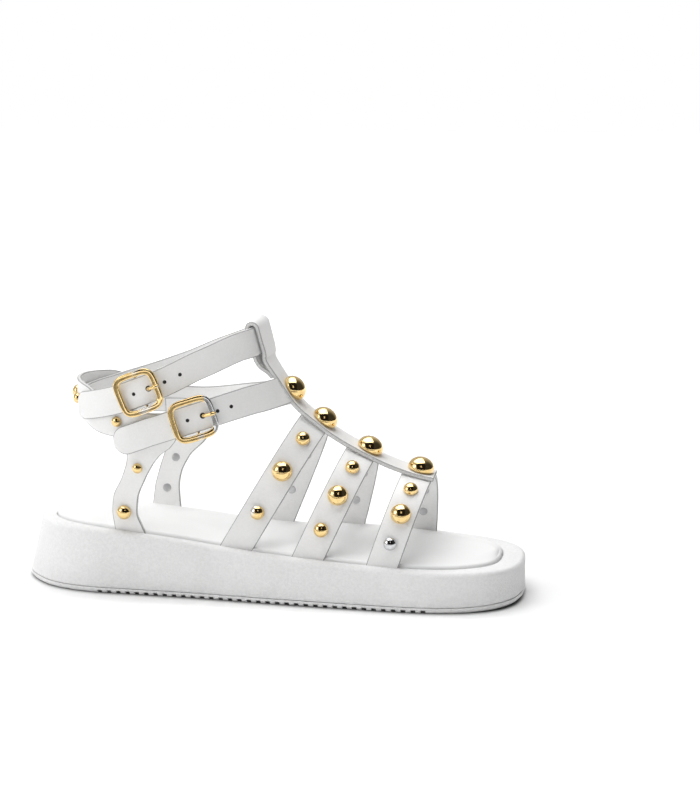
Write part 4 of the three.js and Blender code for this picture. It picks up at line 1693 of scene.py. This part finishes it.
@dataclass
class LeatherUpper:
    """T bar, instep bands, heel piece with its legs, and the two ankle straps."""

    shop: Workshop
    bar_steps: int = 110
    lining_length: float = 17.0
    lining_width: float = 14.4
    lining_steps: int = 18
    loop_extra: float = 0.3
    band_steps: int = 72
    band_root: float = 2.2
    seam_drop: float = 8.2
    seam_rise: float = 0.35
    seam_half: float = 0.0015
    seam_clear: float = 0.004
    upper_steps: int = 180
    lower_steps: int = 190
    tip_share: float = 0.02
    tip_steps: int = 14
    tip_power: float = 2.4
    tip_least: float = 0.06
    hole: float = 1.8
    hole_spacing: float = 7.5
    hole_count: int = 5
    hole_web: float = 0.3
    prong_width: float = 2.9
    punch_depth: float = 2.0
    leg_tuck: float = 0.12
    stitch_angles: Sequence[float] = (255.5, 263.5)
    stitch_count: int = 8
    stitch_reach: float = 5.4
    stitch_size: Sequence[float] = (0.62, 0.26, 0.22)

    def build(self) -> None:
        """Builds and dresses all the leather."""
        self.bar()
        for band in self.shop.shoe.bands:
            self.band(band)
        self.heel_piece()
        self.upper_strap()
        self.stitches()

    def _finish(self, obj: bpy.types.Object, cutters: Sequence[bpy.types.Object], *nodes: str) -> None:
        """Args:
            obj: The bent sheet.
            cutters: Objects that punch its holes.
            nodes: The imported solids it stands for.
        """
        leather, finishes = self.shop.shoe.leather, self.shop.finishes
        # The third finish is the dark edge bead, partly edge paint and partly painted edge shade.
        self.shop.dress(obj, finishes.leather, finishes.edge, finishes.bead)
        self.shop.bench.leather(obj, leather.wall, leather.edge_round, cutters)
        self.shop.keep(obj, Slot.LEATHER, *nodes)

    def bar(self) -> None:
        """The T bar: up its face, over the upper strap and back down inside."""
        path = [*self._bar_face(), *self._bar_fold(), *self._bar_lining()]
        self._finish(self.shop.bench.ribbon("t_bar_leather", path), [], "upper")

    def _bar_face(self) -> Path:
        """Path up the outer face, which steps out where the loop's layer begins.

        Returns:
            The stands and widths.
        """
        bar, half = self.shop.shoe.bar, self.shop.shoe.leather.wall / 2
        seam = bar.where(2, bar.crossing - self.seam_drop)
        shares = [i / self.bar_steps for i in range(self.bar_steps + 1)]
        shares = [u for u in shares if abs(u - seam) > self.seam_clear]
        path = []
        for u in sorted([*shares, seam - self.seam_half, seam + self.seam_half]):
            rise, extra = (self.seam_rise, self.loop_extra) if u > seam else (0.0, 0.0)
            path.append((bar.at(u).moved(out=rise - half), bar.width + extra))
        return path

    def _bar_fold(self) -> Path:
        """Path over the upper strap, in a half circle.

        Returns:
            The stands and widths.
        """
        shoe, leather = self.shop.shoe, self.shop.shoe.leather
        half = leather.wall / 2
        cross = shoe.bar.at(1.0)
        radius = (leather.lining_depth - half + self.seam_rise) / 2
        centre = cross.moved(out=self.seam_rise - half - radius)
        centre = centre.moved(along=shoe.ankle_width / 2 + 2 * leather.gap - half)
        path = []
        for degrees in range(0, 181, 12):
            turn = math.radians(degrees)
            away = cross.out * math.cos(turn) + cross.along * math.sin(turn)
            stand = stand_at(centre.place + away * radius, away.cross(cross.across), cross.across)
            narrowed = clamp((degrees - 90) / 90)
            path.append((stand, mix(shoe.bar.width + self.loop_extra, self.lining_width, narrowed)))
        return path

    def _bar_lining(self) -> Path:
        """Path down the inner wall to its sewn end.

        Returns:
            The stands and widths.
        """
        bar, leather = self.shop.shoe.bar, self.shop.shoe.leather
        loop_foot = bar.crossing - self.shop.shoe.ankle_width / 2 - 2 * leather.gap
        end = bar.crossing - self.lining_length
        path = []
        for i in range(1, self.lining_steps + 1):
            height = mix(bar.crossing, end, i / self.lining_steps)
            sewn = smoothstep(-height, -loop_foot, -end - 1)
            depth = mix(leather.lining_depth, leather.sewn_depth + 0.1, sewn)
            stand = bar.at(bar.where(2, height)).moved(out=-depth)
            path.append((Stand(stand.place, -stand.along, stand.across, -stand.out), self.lining_width))
        return path

    def band(self, band: Band) -> None:
        """An instep band over the foot.

        Args:
            band: Its shape.
        """
        shoe, last = self.shop.shoe, self.band_steps
        stands = [band.at(shoe, mix(-90, 90, i / last)) for i in range(last + 1)]
        stands.insert(0, stands[0].moved(along=-self.band_root))
        stands.append(stands[-1].moved(along=self.band_root))
        path = [(stand, band.width) for stand in stands]
        self._finish(self.shop.bench.ribbon(f"instep_band_{band.name}", path), [], "upper")

    def _strap_sheet(
        self, name: str, strap: AnkleStrap, width: Callable[[float], float], steps: int
    ) -> bpy.types.Object:
        """The sheet of an ankle strap with its round end.

        Args:
            name: The new object's name.
            strap: The strap's path.
            width: Its width at an angle.
            steps: Number of faces along, before the round end.

        Returns:
            The bent sheet.
        """
        shares = [(1 - self.tip_share) * i / steps for i in range(steps)]
        for k in range(self.tip_steps + 1):
            shares.append(1 - self.tip_share * (1 - math.sin(math.pi / 2 * k / self.tip_steps)))
        angles = [mix(strap.start, strap.end, share) for share in shares]
        stands = [strap.at(angle) for angle in angles]
        length = sum((b.place - a.place).length for a, b in zip(stands, stands[1:]))
        path = []
        for share, angle, stand in zip(shares, angles, stands):
            full = width(angle)
            left = min((1 - share) * length / (full / 2), 1)
            rounded = full * math.sqrt(max(1 - (1 - left) ** self.tip_power, 0))
            path.append((stand, max(rounded, full * self.tip_least)))
        return self.shop.bench.ribbon(name, path, faces=6)

    def _punches(self, strap: AnkleStrap, buckle: float) -> bpy.types.Object:
        """Cutters for a strap's row of holes, which leave a thin web in each.

        Args:
            strap: The strap's path.
            buckle: The angle of its buckle.

        Returns:
            The cutters as one object.
        """
        bench, used = self.shop.bench, self.hole_count // 2
        cutters = []
        for i in range(self.hole_count):
            at = strap.onward(buckle, -self.shop.shoe.prong_hole - self.hole_spacing * (i - used))
            size = self.prong_width if i == used else self.hole
            bench.clear()
            bpy.ops.mesh.primitive_cylinder_add(vertices=20, radius=size / 2, depth=self.punch_depth)
            source = bpy.context.object
            for face in (-1, 1):
                seat = strap.at(at).moved(out=face * (self.punch_depth / 2 + self.hole_web / 2))
                cutters.append(bench.copy(source, f"punch_{i}_{face + 1}", seat.matrix()))
            bpy.data.objects.remove(source, do_unlink=True)
        punch = bench.joined(cutters, "punch")
        # The cutters hand the hole's near-black painted shade to its wall and web.
        self.shop.dress(punch, self.shop.finishes.hole)
        return punch

    def heel_piece(self) -> None:
        """The heel piece with its legs, which runs on into the lower ankle strap."""
        shoe = self.shop.shoe
        obj = self._strap_sheet("heel_piece_and_lower_strap", shoe.lower, shoe.lower_width, self.lower_steps)
        self._finish(obj, [self._punches(shoe.lower, shoe.lower_buckle)], "upper")
        for leg in shoe.legs:
            self._leg(leg)

    def _leg(self, leg: Leg) -> None:
        """A leg of the heel piece, its head tucked in behind the strap.

        Args:
            leg: Its shape.
        """

        def place(s: float, t: float) -> Vector:
            """The place for the shares across and down.

            Args:
                s: The share across.
                t: The share down.

            Returns:
                The place in millimetres.
            """
            drop = mix(leg.head_drop, 1 + leg.root, t)
            tuck = self.leg_tuck * smoothstep(-drop, -0.3, -0.1)
            return leg.at(self.shop.shoe, drop, 2 * s - 1).moved(out=-tuck).place

        self._finish(self.shop.bench.sheet(f"heel_leg_{leg.side.word}", 16, 60, place), [], "upper")

    def upper_strap(self) -> None:
        """The upper ankle strap, through the T bar's loop."""
        shoe = self.shop.shoe
        obj = self._strap_sheet("ankle_strap_upper_leather", shoe.upper, shoe.upper_width, self.upper_steps)
        self._finish(obj, [self._punches(shoe.upper, shoe.upper_buckle)], "ankle_strap_upper")

    def stitches(self) -> None:
        """Two rows of stitches where the lower strap is sewn to the heel piece on the inner side."""
        shoe, bench = self.shop.shoe, self.shop.bench
        bench.clear()
        bpy.ops.mesh.primitive_uv_sphere_add(segments=8, ring_count=6, radius=1.0)
        source = bpy.context.object
        bench.edit(source, lambda: bpy.ops.transform.resize(value=self.stitch_size))
        copies = []
        for at in self.stitch_angles:
            for i in range(self.stitch_count):
                across = mix(-self.stitch_reach, self.stitch_reach, i / (self.stitch_count - 1))
                stand = shoe.lower.at(at).moved(out=shoe.leather.wall / 2 + 0.02, across=across)
                copies.append(bench.copy(source, f"stitch_{at}_{i}", stand.matrix()))
        bpy.data.objects.remove(source, do_unlink=True)
        obj = bench.joined(copies, "inner_side_stitches")
        bench.smooth(obj, 60)
        self.shop.dress(obj, self.shop.finishes.thread)
        self.shop.keep(obj, Slot.LEATHER)


@dataclass
class Studs:
    """Domed studs with their rivet backs.

    The domes stand at shares of the sole's length, the bands' and the heel piece's studs at angles, and
    the legs' studs at shares of the way from head to foot.
    """

    shop: Workshop
    dome: float = 13.0
    wide: float = 9.9
    small: float = 7.1
    tiny: float = 5.1
    silver_share: float = 0.9
    rise: float = 0.54
    rim_share: float = 0.2
    foot_degrees: float = 38.0
    back_share: float = 0.6
    back_least: float = 4.2
    sunk: float = 0.05
    back_sunk: float = 0.1
    dome_shares: Sequence[float] = (0.539, 0.601, 0.691, 0.792)
    band_high: float = 28.0
    band_middle: float = 51.5
    band_low: float = 73.4
    leg_high_outer: float = 0.385
    leg_high_inner: float = 0.52
    leg_low: float = 0.79
    backs: list[bpy.types.Object] = field(default_factory=list)

    def build(self) -> None:
        """Builds every stud in its place."""
        self.cap = self._cap()
        self.back = self._back()
        self._domes()
        for band in self.shop.shoe.bands:
            for side in Side:
                self._band_studs(band, side)
        self._heel_studs()
        self._leg_studs()
        bpy.data.objects.remove(self.cap, do_unlink=True)
        bpy.data.objects.remove(self.back, do_unlink=True)
        backs = self.shop.bench.joined(self.backs, "rivet_backs")
        self.shop.bench.smooth(backs, 40)
        self.shop.dress(backs, self.shop.finishes.rivet)
        self.shop.keep(backs, Slot.SILVER)

    def _domes(self) -> None:
        """The big studs along the T bar."""
        shoe = self.shop.shoe
        for i, share in enumerate(self.dome_shares):
            self._cap_at(f"dome_{i + 1}", shoe.bar.at(shoe.bar.where(0, share * shoe.sole.length)), self.dome)

    def _band_studs(self, band: Band, side: Side) -> None:
        """Three studs on one side of a band; the lowest outer one of the toe band is silver-coloured.

        Args:
            band: The band.
            side: The side of the foot.
        """
        for place, degrees, size in (
            ("high", self.band_high, self.small), ("middle", self.band_middle, self.wide),
            ("low", self.band_low, self.small),
        ):
            silver = band.name == "toe" and side is Side.OUTER and place == "low"
            stand = band.at(self.shop.shoe, side.value * degrees)
            width = size * self.silver_share if silver else size
            self._stud(f"stud_{band.name}_{side.word}_{place}", stand, width, silver)

    def _heel_studs(self) -> None:
        """The studs round the heel piece, at angles of the lower strap."""
        for name, at, size in (
            ("outer_wall", 112, self.tiny), ("outer_back", 157, self.tiny), ("back", 180, self.small),
            ("inner_back", 203, self.tiny), ("inner_wall", 246, self.tiny),
        ):
            self._stud(f"stud_heel_{name}", self.shop.shoe.lower.at(at), size)

    def _leg_studs(self) -> None:
        """Two studs on each leg of the heel piece."""
        shoe = self.shop.shoe
        for leg in shoe.legs:
            high = self.leg_high_outer if leg.side is Side.OUTER else self.leg_high_inner
            self._stud(f"stud_leg_{leg.side.word}_high", leg.at(shoe, high), self.tiny)
            self._stud(f"stud_leg_{leg.side.word}_low", leg.at(shoe, self.leg_low), self.small)

    def _cap(self) -> bpy.types.Object:
        """A domed cap of width 1 on a tucked foot, along +Z.

        Returns:
            The pattern that the studs are copied from.
        """
        bench, radius = self.shop.bench, 0.5
        bench.clear()
        bpy.ops.mesh.primitive_uv_sphere_add(segments=40, ring_count=24, radius=radius)
        cap = bpy.context.object
        cap.name = "stud_cap_pattern"
        foot = -radius * math.sin(math.radians(self.foot_degrees))
        bench.edit(
            cap,
            lambda: bpy.ops.mesh.bisect(
                plane_co=(0, 0, foot), plane_no=(0, 0, 1), clear_inner=True, use_fill=True,
            ),
        )
        low = self.rise * self.rim_share
        for vertex in cap.data.vertices:
            z = vertex.co.z
            vertex.co.z = low + z / radius * (self.rise - low) if z > 0 else low * (1 - z / foot)
        bench.smooth(cap, 50)
        return cap

    def _back(self) -> bpy.types.Object:
        """A rivet's flat head of width 1, along +Z.

        Returns:
            The pattern that the rivet backs are copied from.
        """
        bench = self.shop.bench
        bench.clear()
        bpy.ops.mesh.primitive_cylinder_add(vertices=28, radius=0.5, depth=0.12)
        back = bpy.context.object
        back.name = "rivet_pattern"
        bench.modify(back, "BEVEL", width=0.05, segments=3, limit_method="ANGLE")
        return back

    def _cap_at(self, node: str, seat: Stand, size: float, silver: bool = False) -> None:
        """Sets a cap.

        Args:
            node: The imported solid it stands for.
            seat: Its place on the leather's outer face.
            size: Its width in millimetres.
            silver: Whether it is silver-coloured.
        """
        finishes = self.shop.finishes
        place = seat.moved(out=-self.sunk).matrix() @ Matrix.Scale(size, 4)
        obj = self.shop.bench.copy(self.cap, f"{node}_polished", place)
        self.shop.dress(obj, finishes.silver if silver else finishes.gold)
        self.shop.keep(obj, Slot.SILVER if silver else Slot.GOLD, node)

    def _stud(self, node: str, stand: Stand, size: float, silver: bool = False) -> None:
        """Sets a stud through a strap, with its rivet back inside.

        Args:
            node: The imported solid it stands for.
            stand: Its place in the middle of the strap's wall.
            size: Its width in millimetres.
            silver: Whether it is silver-coloured.
        """
        half = self.shop.shoe.leather.wall / 2
        self._cap_at(node, stand.moved(out=half), size, silver)
        inside = stand.moved(out=-half - self.back_sunk).matrix()
        width = max(size * self.back_share, self.back_least)
        self.backs.append(self.shop.bench.copy(self.back, f"{node}_back", inside @ Matrix.Scale(width, 4)))


@dataclass
class Buckles:
    """The two square buckles with their pins and prongs."""

    shop: Workshop
    length: float = 22.0
    height: float = 21.0
    wire: float = 2.9
    thick: float = 2.1
    squareness: float = 4.3
    facet: float = 0.45
    bow: float = 0.5
    prong: float = 1.7
    pin_share: float = 0.44
    phase: float = 0.02
    nudge: float = 0.01
    tip_from: float = 0.86

    def build(self) -> None:
        """Builds both buckles."""
        shoe = self.shop.shoe
        for name, strap, at in (
            ("upper", shoe.upper, shoe.upper_buckle), ("lower", shoe.lower, shoe.lower_buckle)
        ):
            stand = strap.at(at)
            self._frame(name, stand)
            self._prong(name, stand)

    @property
    def rise(self) -> float:
        """Height of the wire's middle over the strap's middle."""
        leather = self.shop.shoe.leather
        return leather.wall / 2 + leather.gap * 0.5 + self.thick / 2

    @property
    def half_across(self) -> float:
        """Half the frame's height, to the wire's middle."""
        return (self.height - self.wire) / 2

    @property
    def half_forward(self) -> float:
        """Half the frame's length, to the wire's middle."""
        return (self.length - self.wire) / 2

    @staticmethod
    def _place(stand: Stand, spot: Vector) -> Vector:
        """The place of a spot across, out from and forward of a buckle's middle."""
        return stand.place + stand.across * spot.x + stand.out * spot.y - stand.along * spot.z

    def _hoop_spot(self, turn: float) -> Vector:
        """Middle of the wire at a turn round the frame, a rounded square that bows out a little.

        Args:
            turn: The turn in radians.

        Returns:
            The spot across, out and forward.
        """
        across, forward = (
            math.copysign(abs(value) ** (2 / self.squareness), value)
            for value in (math.sin(turn), math.cos(turn))
        )
        bow = self.bow * (1 - forward * forward)
        return Vector((across * self.half_across, self.rise + bow, forward * self.half_forward))

    def _hoop(self, stand: Stand) -> bpy.types.Object:
        """The square hoop of flattened wire.

        Args:
            stand: The buckle's middle on its strap.

        Returns:
            The hoop.
        """

        def faceted(share: float, size: float) -> float:
            """Half a size at a share from -1 to 1, flattened towards a rectangle."""
            return math.copysign(abs(share) ** self.facet, share) * size / 2

        def skin(s: float, t: float) -> Vector:
            """The place for the shares around the wire and around the hoop.

            Args:
                s: The share around the wire.
                t: The share around the hoop.

            Returns:
                The place in millimetres.
            """
            turn = 2 * math.pi * t + self.phase
            way = (self._hoop_spot(turn + self.nudge) - self._hoop_spot(turn - self.nudge)).normalized()
            side = way.cross(Vector((0, 1, 0))).normalized()
            angle = 2 * math.pi * s
            wide, tall = faceted(math.cos(angle), self.wire), faceted(math.sin(angle), self.thick)
            return self._place(stand, self._hoop_spot(turn) + side * wide + Vector((0, tall, 0)))

        return self.shop.bench.tube("hoop", skin, 24, 144)

    def _rod(
        self, name: str, stand: Stand, points: Sequence[Vector], level: Vector, around: int,
        radius: Callable[[float], float],
    ) -> bpy.types.Object:
        """A round rod along points that lie in one plane.

        Args:
            name: The new object's name.
            stand: The buckle's middle on its strap.
            points: The points, across, out and forward.
            level: The way square to their plane.
            around: Number of faces around.
            radius: Its radius by the share of the way along.

        Returns:
            The rod.
        """
        last = len(points) - 1

        def skin(s: float, t: float) -> Vector:
            """The place for the shares around and along.

            Args:
                s: The share around.
                t: The share along.

            Returns:
                The place in millimetres.
            """
            i = round(t * last)
            way = (points[min(i + 1, last)] - points[max(i - 1, 0)]).normalized()
            angle = 2 * math.pi * s
            away = level * math.cos(angle) + way.cross(level) * math.sin(angle)
            return self._place(stand, points[i] + away * radius(t))

        return self.shop.bench.tube(name, skin, around, last)

    def _pin(self, stand: Stand) -> bpy.types.Object:
        """The pin, from the frame's top round behind the strap to its bottom.

        Args:
            stand: The buckle's middle on its strap.

        Returns:
            The pin.
        """
        leather, radius = self.shop.shoe.leather, self.prong * self.pin_share
        depth = leather.wall / 2 + 1.6 * leather.gap + radius
        edge = -self.half_across
        bends = [
            Vector((edge, self.rise, 0)), Vector((edge, self.rise * 0.4, 0)),
            Vector((edge, -depth * 0.35, 0)), Vector((edge + 0.45, -depth * 0.84, 0)),
            Vector((edge + 1.5, -depth, 0)),
        ]
        bends += [Vector((-p.x, p.y, 0)) for p in reversed(bends)]
        return self._rod("pin", stand, smooth_path(bends, 6), Vector((0, 0, 1)), 12, lambda t: radius)

    def _frame(self, name: str, stand: Stand) -> None:
        """The frame with its pin; the front of the lower one is silver-coloured.

        Args:
            name: Which strap it is on.
            stand: The buckle's middle on its strap.
        """
        bench, finishes = self.shop.bench, self.shop.finishes
        obj = bench.joined([self._hoop(stand), self._pin(stand)], f"buckle_{name}_polished")
        bench.smooth(obj, 60)
        self.shop.dress(obj, finishes.gold, finishes.silver)
        if name == "lower":
            front = bench.lay(self._place(stand, Vector((0, 0, self.half_forward - self.wire * 0.6))))
            for face in obj.data.polygons:
                if (face.center - front).dot(-stand.along) > 0:
                    face.material_index = 1
        self.shop.keep(obj, Slot.GOLD, f"buckle_frame_{name}")

    def _prong(self, name: str, stand: Stand) -> None:
        """The prong, up through its hole and over the frame's front bar.

        Args:
            name: Which strap it is on.
            stand: The buckle's middle on its strap.
        """
        radius, wall, hole = self.prong / 2, self.shop.shoe.leather.wall, self.shop.shoe.prong_hole
        below = -(wall / 2 + 0.3 + radius)
        bar, tip = self.half_forward, self.rise + self.thick / 2 + radius * 0.9
        knots = [
            Vector((0, below, 1.3)), Vector((0, below, hole - 1.3)), Vector((0, 0, hole)),
            Vector((0, wall * 0.75, hole + 0.4)), Vector((0, tip * 0.84, mix(hole, bar, 0.62))),
            Vector((0, tip, bar)), Vector((0, tip - 0.35, bar + self.wire * 0.62)),
        ]

        def tapered(t: float) -> float:
            """Radius at a share of the way along, rounded off at the tip."""
            left = max((t - self.tip_from) / (1 - self.tip_from), 0)
            return radius * math.sqrt(max(1 - left**2, 0.01))

        points = smooth_path(knots, 8)
        obj = self._rod(f"buckle_prong_{name}_polished", stand, points, Vector((1, 0, 0)), 14, tapered)
        self.shop.bench.smooth(obj, 60)
        self.shop.dress(obj, self.shop.finishes.gold)
        self.shop.keep(obj, Slot.GOLD, f"buckle_prong_{name}")


# Studio


@dataclass(frozen=True)
class UprightCard:
    """A card for reflections that faces the shoe; its places are in metres."""

    name: str
    distance: float
    size: Sequence[float]
    aside: float
    level: float


@dataclass(frozen=True)
class SoftBox:
    """A square area light; its places are in metres."""

    name: str
    place: Sequence[float]
    size: float
    power: float
    aim: Sequence[float] = (0.0, 0.0, 0.0)


@dataclass
class Studio:
    """Pale floor, soft light and the camera of the photo."""

    shop: Workshop
    azimuth: float = 9.65
    elevation: float = 11.4
    distance: float = 898.0
    lens: float = 83.4
    target: Sequence[float] = (163.5, 0.0, 93.5)
    floor_size: float = 8.0
    shadow_inside: float = 3.0
    shadow_beside: float = 7.5
    shadow_before: float = 2.5
    shadow_height: float = 0.08
    card_rise: float = 36.0
    card_turn: float = 12.6
    card_height: float = 0.06
    card_tint: Sequence[float] = (1.0, 0.93, 0.85)
    cards_up: Sequence[UprightCard] = (
        UprightCard("dark_card", 0.72, (1.15, 1.0), 0.0, 0.012),
        UprightCard("window_card", 0.70, (0.05, 0.22), 0.07, 2.0),
        UprightCard("slit_card", 0.70, (0.02, 0.22), -0.02, 1.2),
    )
    front_place: Sequence[float] = (0.0, -0.47, 0.004)
    front_size: Sequence[float] = (1.0, 0.46)
    front_dark: Sequence[float] = (0.03, 0.026, 0.022)
    front_light: Sequence[float] = (0.62, 0.6, 0.57)
    tent: float = 0.57
    shade: float = 0.04
    opening: Sequence[float] = (0.96, -0.22, 0.15)
    boxes: Sequence[SoftBox] = (
        SoftBox("overhead_box", (-0.10, 0.15, 1.35), 1.4, 17.0),
        SoftBox("heel_box", (-1.15, -0.75, 0.7), 0.7, 3.4, (0.0, 0.0, 0.06)),
    )

    def build(self) -> None:
        """Builds the studio."""
        self.camera()
        self.floor()
        self.shadow()
        self.cards()
        self.world()
        self.lights()
        view = bpy.context.scene.view_settings
        view.view_transform, view.look, view.exposure, view.gamma = "Standard", "None", 0.0, 1.0

    @staticmethod
    def _look(obj: bpy.types.Object, way: Vector) -> None:
        """Turns a camera or a light to look along a way."""
        obj.rotation_mode = "QUATERNION"
        obj.rotation_quaternion = way.to_track_quat("-Z", "Y")

    def _plane(self, name: str, size: float, place: Matrix) -> bpy.types.Object:
        """A flat square of the stage.

        Args:
            name: The new object's name.
            size: Its side in metres.
            place: Its place and scale.

        Returns:
            The plane.
        """
        self.shop.bench.clear()
        bpy.ops.mesh.primitive_plane_add(size=size)
        obj = bpy.context.object
        obj.name = name
        obj.data.transform(place)
        return obj

    def camera(self) -> None:
        """The camera at the photo's angle."""
        data = bpy.data.cameras.new("photo_camera")
        data.lens, data.sensor_width, data.sensor_fit = self.lens, 36.0, "AUTO"
        data.clip_start, data.clip_end = 0.01, 20.0
        obj = bpy.data.objects.new("photo_camera", data)
        bpy.context.scene.collection.objects.link(obj)
        back = heading(self.azimuth, self.elevation)
        obj.location = self.shop.bench.lay(Vector(self.target) + back * self.distance)
        self._look(obj, -back)
        bpy.context.scene.camera = obj

    def floor(self) -> None:
        """A wide pale floor."""
        obj = self._plane("studio_floor", self.floor_size, Matrix.Identity(4))
        self.shop.dress(obj, PaleFloor())

    def shadow(self) -> None:
        """The dark line where the sole meets the floor, fading outwards."""
        ring = self.shop.shoe.sole.outline(80)
        count = len(ring)

        def place(s: float, t: float) -> Vector:
            """The place for the shares around the sole and outwards.

            Args:
                s: The share around.
                t: The share outwards.

            Returns:
                The place in millimetres.
            """
            point, normal = ring[round(s * count) % count]
            reach = mix(self.shadow_before, self.shadow_beside, normal.y**2)
            spot = point + normal * mix(-self.shadow_inside, reach, t)
            return Vector((spot.x, spot.y, self.shadow_height))

        obj = self.shop.bench.sheet("contact_shadow", count, 12, place)
        self.shop.dress(obj, ContactShadow())
        obj.visible_diffuse = obj.visible_glossy = False

    def cards(self) -> None:
        """Cards that only reflections see: a dark one, two bright strips and a mottled one in front."""
        way = heading(self.card_turn, self.card_rise)
        faced = way.to_track_quat("Z", "Y").to_matrix().to_4x4()
        for card in self.cards_up:
            spot = Matrix.Translation(way * card.distance + Vector((card.aside, 0, self.card_height)))
            tone = [card.level * share for share in self.card_tint]
            self._card(card.name, spot @ faced @ Matrix.Diagonal((*card.size, 1, 1)), tone, tone)
        flat = Matrix.Translation(self.front_place) @ Matrix.Diagonal((*self.front_size, 1, 1))
        self._card("front_card", flat, self.front_dark, self.front_light)

    def _card(self, name: str, place: Matrix, dark: Sequence[float], light: Sequence[float]) -> None:
        """Sets up one card.

        Args:
            name: The card's name.
            place: Its place, from a plane one metre wide.
            dark: The darker of its two tones.
            light: The lighter of its two tones.
        """
        obj = self._plane(name, 1.0, place)
        self.shop.dress(obj, GlowingCard(name, dark, light))
        obj.visible_camera = obj.visible_diffuse = obj.visible_shadow = False

    def world(self) -> None:
        """A white light tent with a dark opening towards the toes, plain white to the camera."""
        world = bpy.data.worlds.new("light_tent")
        bpy.context.scene.world = world
        world.use_nodes = True
        graph = Graph(world.node_tree)
        way = graph.node("ShaderNodeTexCoord", output="Generated")
        toward = graph.node(
            "ShaderNodeVectorMath", {"operation": "DOT_PRODUCT"}, {0: way, 1: self.opening}, "Value",
        )
        tent = graph.blend(toward.step(-0.1, 0.8), (self.tent,) * 3, (self.shade,) * 3)
        seen = graph.node("ShaderNodeLightPath", output="Is Camera Ray")
        lit = graph.node("ShaderNodeBackground", None, {"Color": tent, "Strength": 1.0})
        plain = graph.node("ShaderNodeBackground", None, {"Color": (1, 1, 1, 1), "Strength": 1.0})
        both = graph.node("ShaderNodeMixShader", None, {0: seen, 1: lit, 2: plain})
        graph.node("ShaderNodeOutputWorld", None, {"Surface": both})

    def lights(self) -> None:
        """A large soft box overhead and a small one for sparkle."""
        for box in self.boxes:
            data = bpy.data.lights.new(box.name, "AREA")
            data.shape, data.size, data.energy = "SQUARE", box.size, box.power
            obj = bpy.data.objects.new(box.name, data)
            bpy.context.scene.collection.objects.link(obj)
            obj.location = box.place
            self._look(obj, Vector(box.aim) - Vector(box.place))


def main() -> None:
    """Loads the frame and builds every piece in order."""
    logging.basicConfig(level=logging.INFO, format="%(name)s: %(message)s")
    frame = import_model()
    shoe = Shoe()
    shop = Workshop(shoe, Bench(shoe.sole), Finishes(), frame["nodes"])
    SoleUnit(shop).build()
    LeatherUpper(shop).build()
    Studs(shop).build()
    Buckles(shop).build()
    Studio(shop).build()
    LOG.info("%d pieces made", shop.made)


if __name__ == "__main__":
    main()
